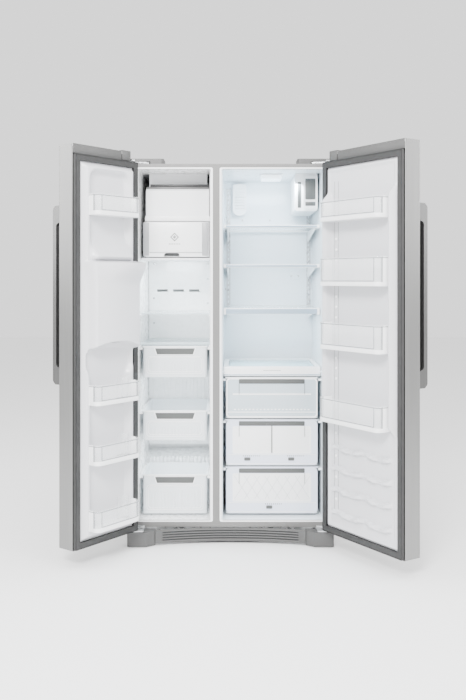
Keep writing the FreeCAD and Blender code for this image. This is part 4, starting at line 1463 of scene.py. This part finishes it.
@dataclass
class FreezerCompartment(Assembly):
    """The left compartment: rim, wall ribs, clips, screws and ice bin dressing."""

    x: Pair = (-414.0, -93.0)
    wall: float = 500.0
    hump: float = 360.0

    def build(self) -> None:
        """Builds everything in the freezer."""
        rim = mouth_rim((self.x[0] - 7, self.x[1] + 13.5), (self.x[0] - 1, self.x[1] + 5))
        self.add("freezer_mouth_rim", rim, Look.BRIGHT_WHITE, "liner_white")
        for name, wall, middle, length in (
            ("freezer_wall_ribs", self.wall, 545, 370),
            ("freezer_hump_ribs", self.hump, 220, 190),
        ):
            start = (-392, wall - 0.5, middle)
            self.ribs(name, start, (18.4, 0, 0), 16, length, 8, Look.LINER_WHITE, "liner_white")
        self.fixings()
        self.ice_maker_front()
        self.ice_bin_front()

    def fixings(self) -> None:
        """Builds the wall's screws, the painted shade in its slots and the oval drawer clips."""
        spots = [(-387, 1257), (-117, 1257), (-117, 1181), (-387, 1085), (-117, 1060), (-387, 960)]
        self.copies(
            "freezer_wall_screws",
            screw_head(5.5, 3.0),
            [(x, self.wall - 0.3, z) for x, z in spots],
            Look.ZINC,
            "zinc_steel",
            FACE_FRONT,
        )
        # Dark grey strips on the wall: painted shade inside its slots.
        slots = Shape()
        for low, high in ((-372, -318), (-291, -237), (-210, -159)):
            slots.slab((low, high), (self.wall - 1.0, self.wall + 1.0), (1122, 1129), 0.6, 1)
        self.add("freezer_wall_slots", slots, Look.WINDOW_GREY, "grey_plastic")
        clip, dots = Shape(), Shape()
        for level in (690.0, 404.0):
            for wall, inward in ((self.x[0], 1), (self.x[1], -1)):
                face = sorted((wall - inward, wall + inward * 3.6))
                outline = arc((95, level + 22), 13, 0, 180, 8) + arc((95, level - 14), 13, 180, 360, 8)
                clip.prism(outline, "x", (face[0], face[1]), 1.4)
                for drop in (-14, 4, 22):
                    dots.dome((wall + inward * 3.4, 95, level + drop), (1.2, 3.2, 3.2), 5)
        self.add("freezer_guide_clips", clip, Look.BRIGHT_WHITE, "liner_white")
        self.add("freezer_clip_pins", dots, Look.WINDOW_GREY, "grey_plastic")

    def ice_maker_front(self) -> None:
        """Builds the ice maker's cover, its base lip, a black bar of painted shadow over it and the grey
        strip on its top.
        """
        foot, front, top, back = 1452, 117, 1596, 440
        profile = [(front, foot), (front, top - 8), (front + 8, top), (back, top + 26), (back, foot)]
        cover = Shape().prism(profile, "x", (-390, -99), 2.5)
        lip = Shape().slab((-393, -95.5), (110, 119), (1446, 1470), 3, 3)
        piece = self.add("ice_cover_front", cover, Look.ICE_WHITE, "white_plastic")
        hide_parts("ice_maker_cover")
        self.add("ice_cover_lip", lip, Look.BRIGHT_WHITE, "white_plastic")
        # Black bar above the cover: painted shadow seen over the cover's top.
        bracket = Shape().slab((-372, -99), (136, 152), (top + 8, top + 23), 1.5)
        self.add("ice_maker_bracket", bracket, Look.BLACK, "dark_plastic")
        strip = Shape().slab((-389, -99), (128, 142), (top - 3, top + 10), 2)
        self.add("ice_maker_bracket_strip", strip, Look.TRIM_GREY, "grey_plastic")

    def ice_bin_front(self) -> None:
        """Builds the ice bin's groove and flanks, drawn grey as painted shade, its front plate and frost
        sign.
        """
        left, right = -374, -129
        # Grey strip along the bottom of the front: painted shade in its groove.
        groove = Shape().slab((left + 2, right), (98.6, 100.8), (1300, 1303.5), 0.6, 1)
        self.add("ice_bin_groove", groove, Look.SHADE_WHITE, "white_plastic", "ice_bin")
        # Grey strips at both sides: painted shade of the bin's rounded front corners.
        flanks = Shape()
        for low, high in ((left - 27, left), (right - 2, right + 25)):
            flanks.slab((low, high), (98.9, 103), (1288, 1440), 2, 3)
        self.add("ice_bin_flanks", flanks, Look.SHADE_WHITE, "white_plastic", "ice_bin")
        plate = Shape().slab((left, right - 2), (98.2, 101), (1306, 1438), 1.2, 3)
        self.add("ice_bin_front_plate", plate, Look.BRIGHT_WHITE, "white_plastic", "ice_bin")
        sign, span = Shape(), (97.6, 98.4)
        centre = Vector((-257.0, 1373.0))
        outside, inside = (
            [tuple(centre + Vector(step) * reach) for step in ((0, 1), (1, 0), (0, -1), (-1, 0))]
            for reach in (20, 15)
        )
        sign.ring(outside, inside, "y", span)
        for bar in frost_star(centre, 9, 1.2):
            sign.prism(bar, "y", span)
        for step in range(-2, 3):
            dash = centre.x + 11 * step
            sign.slab((dash - 4, dash + 4), span, (1340, 1343), 0.3, 1)
        self.add("ice_bin_frost_sign", sign, Look.WINDOW_GREY, "grey_plastic", "ice_bin")


@dataclass
class Basket(Assembly):
    """One freezer basket's grip window and rim."""

    low: float
    high: float
    x: Pair = (-399.0, -108.0)
    front: float = 76.0

    def build(self) -> None:
        """Builds the basket's dressing."""
        middle = sum(self.x) / 2
        name = self.body
        top, foot = self.high - 9, self.high - 37
        outer = [
            (middle - 96, top + 3),
            (middle + 96, top + 3),
            (middle + 86, foot - 3),
            (middle - 86, foot - 3),
        ]
        inner = [(middle - 91, top), (middle + 91, top), (middle + 82, foot), (middle - 82, foot)]
        frame_ring = Shape().ring(outer, inner, "y", (self.front - 2.4, self.front + 0.6))
        frame_ring.slab(
            (self.x[0] - 1, self.x[1] + 1),
            (self.front - 1.6, self.front + 3),
            (self.high - 5, self.high + 1.4),
            1.6,
            3,
        )
        self.add(f"{name}_grip_frame", frame_ring, Look.BRIGHT_WHITE, "white_plastic")
        self.add(
            f"{name}_grip",
            Shape().prism(inner, "y", (self.front - 1.2, self.front + 0.8), 0.4),
            Look.WINDOW_GREY,
            "grey_plastic",
        )
        panel = Shape()
        for step in range(2):
            inset = 16 + 8 * step
            x = (self.x[0] + inset, self.x[1] - inset)
            z = (self.low + inset, foot - 8 - 4 * step)
            panel.ring(*nested(x, z, 14, 3, 11), "y", (self.front - 1.2, self.front + 0.6))
        self.add(f"{name}_panel_lines", panel, Look.BRIGHT_WHITE, "white_plastic")
        self.ribs(
            f"{name}_front_ribs",
            (self.x[0] + 40, self.front - 0.2, (self.low + foot) / 2 - 8),
            (15.1, 0, 0),
            15,
            foot - self.low - 58,
            5,
            Look.FROSTED,
            "white_plastic",
        )


@dataclass
class FreshCompartment(Assembly):
    """The right compartment: rim, shelf trims, filter, duct and light."""

    x: Pair = (-35.0, 412.0)
    shelves: tuple[Pair, ...] = ((1428.0, 11.0), (1247.0, 12.0), (1046.0, 27.0))

    def build(self) -> None:
        """Builds everything in the fresh food compartment."""
        rim = mouth_rim((self.x[0] - 13.5, self.x[1] + 7), (self.x[0] - 5, self.x[1] + 1))
        self.add("fresh_mouth_rim", rim, Look.BRIGHT_WHITE, "liner_white")
        self.shelf_trims()
        self.filter_windows()
        self.air_duct()
        lens_rim = Shape().ring(*nested((138, 244), (162, 308), 16, 7, 12), "z", (1664, 1671.5))
        self.add("light_lens_rim", lens_rim, Look.BRIGHT_WHITE, "liner_white")
        self.deli_frame()

    def shelf_trims(self) -> None:
        """Builds each shelf's coloured edge, end caps and bracket noses."""
        edges, ends = Shape(), Shape()
        for top, nosing in self.shelves:
            edges.slab((-26, 402), (96.8, 98.6), (top - nosing + 2, top - 2), 0.7)
            for end in (-33, 396):
                ends.slab((end, end + 13), (96.5, 150), (top - nosing - 2, top + 2.4), 2.5, 3)
            for wall in (-16, 388):
                bracket = [
                    (160, top - 13),
                    (530, top - 13),
                    (538, top - 52),
                    (500, top - 60),
                    (170, top - 20),
                ]
                ends.prism(bracket, "x", (wall, wall + 5), 1)
        self.add("shelf_edge_strips", edges, Look.EDGE_BLUE, "white_plastic")
        self.add("shelf_end_caps", ends, Look.BRIGHT_WHITE, "white_plastic")
        plate = Shape().slab((300, 352), (541.5, 545.5), (1177, 1214), 3)
        # The plate's blue tint is painted light, as on the liner.
        self.add("fresh_wall_plate", plate, Look.COOL_WHITE, "liner_white")
        on_plate = [(x, 541.8, 1196) for x in (309, 343)]
        on_wall = [(x, 544.6, z) for x, z in ((-24, 1130), (60, 1480), (200, 1480))]
        screws = on_plate + on_wall
        self.copies(
            "fresh_wall_screws",
            screw_head(5.5, 3.0),
            screws,
            Look.ZINC,
            "zinc_steel",
            FACE_FRONT,
        )

    def filter_windows(self) -> None:
        """Builds the grey windows of the filter's housing and door."""
        panes = Shape()
        panes.prism(rounded((312, 328), (1512, 1632), 3), "y", (156.6, 158.6), 0.5)
        self.add("filter_housing_window", panes, Look.WINDOW_GREY, "grey_plastic")
        cap = Shape()
        cap.prism(rounded((346, 393), (1550, 1646), 4), "y", (141.8, 143.6), 0.5)
        cap.prism(rounded((346, 393), (1520, 1539), 3), "y", (141.8, 143.6), 0.5)
        self.add("filter_cap_windows", cap, Look.WINDOW_GREY, "grey_plastic", "filter_cap")
        lip = Shape().ring(
            rounded((337, 403), (1507, 1657), 6),
            rounded((341, 398), (1512, 1652), 4),
            "y",
            (141.4, 145),
        )
        self.add("filter_cap_rim", lip, Look.BRIGHT_WHITE, "white_plastic", "filter_cap")

    def air_duct(self) -> None:
        """Builds the duct cover's ribs and rounded brow."""
        self.ribs(
            "duct_cover_ribs",
            (44.5, 504.6, 1530),
            (0, 0, 13),
            9,
            48,
            5,
            Look.BRIGHT_WHITE,
            "white_plastic",
            LIE_ACROSS,
        )
        brow = Shape().ring(*nested((10, 79), (1501, 1660), 30, 6, 25, 8), "y", (502.5, 506))
        self.add("duct_cover_brow", brow, Look.BRIGHT_WHITE, "white_plastic")

    def deli_frame(self) -> None:
        """Builds the white frame round the glass over the drawers."""
        shape = Shape()
        shape.slab((-33, 410), (70.5, 82), (738, 782), 4, 3)
        shape.ring(rounded((-31, 408), (74, 478), 6), rounded((-9, 386), (96, 450), 10), "z", (776, 782))
        self.add("deli_frame", shape, Look.BRIGHT_WHITE, "white_plastic")
        strip = Shape().slab((-31, 408), (69.3, 71.2), (742, 747), 0.8)
        self.add("deli_edge_strip", strip, Look.EDGE_BLUE, "white_plastic")
        pane = Shape().prism(rounded((-6, 383), (99, 447), 9), "z", (779, 781), 0.5)
        self.add("deli_pane", pane, Look.PALE_CYAN, "shelf_glass")
        notes = Shape()
        for step in range(9):
            notes.slab((150 + 9 * step, 155 + 9 * step), (69.8, 71.2), (763, 766), 0.4, 1)
        self.add("deli_marks", notes, Look.WINDOW_GREY, "grey_plastic")


@dataclass
class Crisper(Assembly):
    """One drawer of the fresh food compartment: grip strip, window frame and bands."""

    low: float
    high: float
    split: bool
    band: bool
    x: Pair = (-21.0, 397.0)
    front: float = 76.0

    def build(self) -> None:
        """Builds the drawer's front."""
        middle = sum(self.x) / 2
        strip = rounded((middle - 150, middle + 150), (self.high - 28, self.high - 7), 4)
        self.add(
            f"{self.body}_grip_strip",
            Shape().prism(strip, "y", self.skin(3.4, 0.4), 0.5),
            Look.WINDOW_GREY,
            "grey_plastic",
        )
        lines = Shape()
        for place in (middle - 150, middle + 149):
            lines.slab((place, place + 2), self.skin(3.0, 0.4), (self.high - 78, self.high - 28), 0.4, 1)
        if self.split:
            lines.slab(
                (middle - 2.5, middle + 2.5),
                self.skin(3.0, 0.4),
                (self.low + 56, self.high - 28),
                1,
            )
        self.add(f"{self.body}_dark_lines", lines, Look.WINDOW_GREY, "grey_plastic")
        if self.band:
            self.banded_front()
        else:
            self.clear_front(middle)

    def skin(self, proud: float, sunk: float) -> Pair:
        """Returns a span in depth that stands proud of the drawer's front and sinks into it."""
        return (self.front - proud, self.front + sunk)

    def banded_front(self) -> None:
        """Builds the pale surround, the white window frame and the slider's marks."""
        foot = self.low + 54
        window = rounded((self.x[0] + 30, self.x[1] - 30), (foot, self.high - 30), 6)
        inner = rounded((self.x[0] + 37, self.x[1] - 37), (foot + 6, self.high - 36), 4)
        surround = Shape()
        surround.ring(
            rounded((self.x[0] + 1, self.x[1] - 1), (self.low + 2, self.high - 4), 20),
            window,
            "y",
            self.skin(1.6, 0.5),
        )
        surround.slab(
            (self.x[0] - 2, self.x[1] + 2),
            self.skin(2.2, 3),
            (self.high - 5, self.high + 1),
            1.6,
            3,
        )
        self.add(f"{self.body}_surround", surround, Look.BAND_BLUE, "clear_plastic")
        pane = Shape().ring(window, inner, "y", self.skin(2.6, 0.5))
        pane.slab((self.x[0] + 8, self.x[1] - 8), self.skin(2.8, 0.2), (foot - 6, foot - 3), 0.8, 1)
        pane.slab(
            (self.x[0] + 16, self.x[1] - 16),
            self.skin(2.8, 0.2),
            (self.low + 6, self.low + 9),
            0.8,
            1,
        )
        self.add(f"{self.body}_window_frame", pane, Look.BRIGHT_WHITE, "clear_plastic")
        sheet = Shape().prism(inner, "y", self.skin(0.8, 0.3), 0.2)
        self.add(f"{self.body}_window_sheet", sheet, Look.BRIGHT_WHITE, "clear_plastic")
        if not self.split:
            self.lattice(foot + 12, self.high - 42)
        mark = Shape().slab((-1.2, 1.2), (-0.4, 0.4), (-3, 3), 0.3, 1)
        centres = (95, 295) if self.split else (195,)
        places = [
            (centre + 9 * step, self.front - 1.7, self.low + 44)
            for centre in centres
            for step in range(-4, 5)
        ]
        self.copies(f"{self.body}_marks", mark, places, Look.WINDOW_GREY, "grey_plastic")

    def lattice(self, low: float, high: float) -> None:
        """Builds the crossing ribs behind the lower drawer's window.

        Args:
            low: The ribs' lower ends.
            high: The ribs' upper ends.
        """
        ribs = Shape()
        middle, lean, width = sum(self.x) / 2, 34.0, 3.0
        for step in range(-3, 4):
            for side in (-1, 1):
                foot, head = middle + 46 * step - side * lean, middle + 46 * step + side * lean
                ribs.prism(
                    [(foot, low), (foot + width, low), (head + width, high), (head, high)],
                    "y",
                    self.skin(1.2, 0.2),
                )
        self.add(f"{self.body}_lattice", ribs, Look.PALE_GREY, "clear_plastic")

    def clear_front(self, middle: float) -> None:
        """Builds the thin rim, the ledge line and the beads of the clear drawer.

        Args:
            middle: The drawer's middle across.
        """
        rim = Shape()
        rim.ring(
            rounded((self.x[0] + 1, self.x[1] - 1), (self.low + 3, self.high - 4), 16),
            rounded((self.x[0] + 8, self.x[1] - 8), (self.low + 10, self.high - 9), 11),
            "y",
            self.skin(1.6, 0.5),
        )
        rim.slab(
            (self.x[0] - 2, self.x[1] - 1),
            self.skin(2.2, 3),
            (self.high - 5, self.high + 1),
            1.6,
            3,
        )
        rim.slab(
            (self.x[0] + 30, self.x[1] - 30),
            self.skin(2.4, 0.3),
            (self.low + 106, self.low + 113),
            2,
            3,
        )
        rim.slab(
            (self.x[0] + 8, self.x[1] - 8),
            self.skin(2.0, 0.3),
            (self.low + 26, self.low + 30),
            1,
            2,
        )
        self.add(f"{self.body}_window_frame", rim, Look.BRIGHT_WHITE, "clear_plastic")
        window = rounded((self.x[0] + 8, self.x[1] - 8), (self.low + 10, self.high - 9), 11)
        sheet = Shape().prism(window, "y", self.skin(0.7, 0.3), 0.2)
        self.add(f"{self.body}_window_sheet", sheet, Look.CRISP_BLUE, "clear_plastic")
        bead = Shape().dome((0, 0, 0), (5.6, 1.8, 3.0), 6)
        places = [(middle - 168 + 16.8 * step, self.front - 0.4, self.low + 40) for step in range(21)]
        self.copies(f"{self.body}_beads", bead, places, Look.BRIGHT_WHITE, "grey_plastic")


@dataclass
class Cabinet(Assembly):
    """The cabinet's outside: toe grille, screws and back details."""

    def build(self) -> None:
        """Builds the outside dressing."""
        for name, look, width, front, base, rows, thick in (
            # The black rows are painted shade in the grille's slots, run on across the posts between
            # them.
            ("toe_grille_gaps", Look.BLACK, 301.0, -4.2, 24.5, 4, 5.4),
            ("toe_grille_slats", Look.GRILLE_GREY, 304.0, -4.9, 19.0, 5, 4.4),
        ):
            slats = SLATS.run(
                name,
                points_mesh([(0, 0, 0)]),
                Half_Width=width,
                Bow=-42.0,
                Front=front,
                Rows=rows,
                Base=base,
                Pitch=11.0,
                Thickness=thick,
                Depth=2.2 if rows == 5 else 0.8,
                Reach=332.0,
                Finish=look.made(),
            )
            self.add(name, slats, look, "frame_grey")
        edge = [(x, 608.2, z) for x in (-444, 444) for z in range(310, 1690, 150)]
        edge += [(x, 608.2, 1684) for x in range(-360, 400, 120)]
        edge += [(x, 608.2, z) for x in (-440, -220, 0, 220, 440) for z in (56, 276)]
        self.copies("back_panel_screws", screw_head(6.0, 3.0), edge, Look.ZINC, "zinc_steel", FACE_BACK)
        caps = [(side * x, y, 1719.8) for side in (-1, 1) for x, y in ((330, 62), (420, 62))]
        self.copies("hinge_cover_screws", screw_head(5.0, 2.4), caps, Look.ZINC, "zinc_steel")


class Room:
    """The floor, the light and the camera."""

    FLOOR_REACH = 14.0
    SKY_STRENGTH = 1.6
    # Each studio lamp's place, what it faces, its width and height, and its power in watts.
    STUDIO: dict[str, tuple[Point, Point, Pair, float]] = {
        "key_lamp": ((-0.9, -4.4, 3.4), (0, 0, 0.9), (1.5, 1.2), 470),
        "fill_lamp": ((2.6, -3.6, 2.2), (0, 0, 0.9), (1.6, 1.6), 90),
        "left_lamp": ((-3.4, -0.4, 2.2), (-0.6, -0.2, 0.9), (1.4, 2.0), 60),
        "right_lamp": ((3.4, -0.4, 2.2), (0.6, -0.2, 0.9), (1.4, 2.0), 60),
        "floor_lamp": ((0, -1.2, 4.6), (0, 0.4, 0), (4.0, 3.0), 160),
    }
    # Each compartment's light colour, and its lamps' heights in metres and powers in watts.
    INSIDE: dict[str, tuple[Point, dict[str, Pair]]] = {
        "fresh_food_liner": (
            (0.80, 0.91, 1.0),
            {"ceiling": (1.62, 4.6), "middle": (1.22, 1.2), "shelf": (1.03, 1.6)},
        ),
        "freezer_liner": (
            (0.86, 0.95, 1.0),
            {"middle": (1.25, 3.2), "gap": (0.715, 1.6), "low_gap": (0.43, 2.0)},
        ),
    }

    def build(self) -> None:
        """Builds the room."""
        self.floor()
        self.lights()
        self.camera()

    def floor(self) -> None:
        """Lays the pale floor and the pale surroundings."""
        mesh = bpy.data.meshes.new("floor")
        reach = self.FLOOR_REACH
        outline = [(-reach, -reach, 0), (reach, -reach, 0), (reach, reach, 0), (-reach, reach, 0)]
        mesh.from_pydata(outline, [], [(0, 1, 2, 3)])
        floor = bpy.data.objects.new("floor", mesh)
        bpy.context.scene.collection.objects.link(floor)
        pale = Finish((0.92, 0.92, 0.92), 0.7, strength=0.01, size=30.0, bump=0.01)
        mesh.materials.append(pale.material("floor_pale"))
        world = bpy.data.worlds.new("surroundings")
        world.use_nodes = True
        world.node_tree.nodes["Background"].inputs["Color"].default_value = (1.0, 1.0, 1.0, 1.0)
        world.node_tree.nodes["Background"].inputs["Strength"].default_value = self.SKY_STRENGTH
        bpy.context.scene.world = world

    def lamp(
        self, name: str, spot: Point, target: Point, size: Pair, power: float, colour: Point = (1, 1, 1)
    ) -> None:
        """Hangs a soft rectangular lamp.

        Args:
            name: The lamp's name.
            spot: Where it hangs.
            target: What it faces.
            size: Its width and height.
            power: Its power in watts.
            colour: The colour of its light.
        """
        data = bpy.data.lights.new(name, "AREA")
        data.shape = "RECTANGLE"
        data.size, data.size_y = size
        data.energy = power
        data.color = colour
        lamp = bpy.data.objects.new(name, data)
        lamp.location = spot
        lamp.rotation_euler = (Vector(target) - Vector(spot)).to_track_quat("-Z", "Y").to_euler()
        lamp.visible_camera = False
        bpy.context.scene.collection.objects.link(lamp)

    def lights(self) -> None:
        """Hangs the studio's soft lamps and the lamps inside the compartments."""
        for name, (spot, target, size, power) in self.STUDIO.items():
            self.lamp(name, spot, target, size, power)
        for liner, (colour, levels) in self.INSIDE.items():
            self.inner_lamps(liner, colour, levels)

    def inner_lamps(self, liner: str, colour: Point, levels: dict[str, Pair]) -> None:
        """Hangs small downward lamps inside a compartment.

        Args:
            liner: The compartment's liner.
            colour: The colour of the light.
            levels: Each lamp's name with its height and its power.
        """
        low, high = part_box(liner)
        middle, depth = (low[0] + high[0]) / 2, low[1] + 0.15
        width = (high[0] - low[0]) * 0.6
        for level_name, (height, power) in levels.items():
            aim = (middle, depth + 0.16, height - 0.3)
            self.lamp(
                f"{liner}_{level_name}_lamp",
                (middle, depth, height),
                aim,
                (width, 0.1),
                power,
                colour,
            )

    def camera(self) -> None:
        """Sets up the camera, level and straight on."""
        data = bpy.data.cameras.new("camera")
        data.lens = 45.26
        data.shift_y = -0.101
        camera = bpy.data.objects.new("camera", data)
        camera.location = (-0.01545, -3.99979, 1.1795)
        camera.rotation_euler = (math.radians(90), 0, 0)
        bpy.context.scene.collection.objects.link(camera)
        bpy.context.scene.camera = camera


def corners(box: tuple[Vector, Vector]) -> list[list[float]]:
    """Returns a box's two corners as plain lists."""
    return [[float(value) for value in corner] for corner in box]


def main() -> None:
    """Builds the refrigerator's looks in order."""
    logging.basicConfig(level=logging.INFO, format="%(message)s")
    Carried.dress()
    here = cabinet_placement()
    left, right = door_placement("freezer_door_hinge", 1), door_placement("fridge_door_hinge", -1)
    assemblies: list[Assembly] = [
        Cabinet(here, "cabinet"),
        FreezerCompartment(here, "cabinet"),
        FreshCompartment(here, "cabinet"),
        Basket(here, "basket_upper", 733, 874),
        Basket(here, "basket_middle", 446, 580),
        Basket(here, "basket_lower", 112, 288),
        Crisper(here, "crisper_upper", 546, 732, split=False, band=False),
        Crisper(here, "crisper_middle", 331, 540, split=True, band=True),
        Crisper(here, "crisper_lower", 112, 325, split=False, band=True),
        FreezerDoor(
            left,
            "freezer_door",
            far=374.5,
            levels=((1443, 1529), (664, 747), (420, 503), (149, 236)),
            bins_from=60,
            bins_to=314,
            label="freezer",
        ),
        FreshDoor(
            right,
            "fridge_door",
            far=505.5,
            levels=((1425, 1510), (1152, 1270), (884, 997), (575, 677)),
            bins_from=64,
            bins_to=440,
            label="fridge",
        ),
    ]
    for assembly in assemblies:
        assembly.build()
    Room().build()


if __name__ == "__main__":
    main()
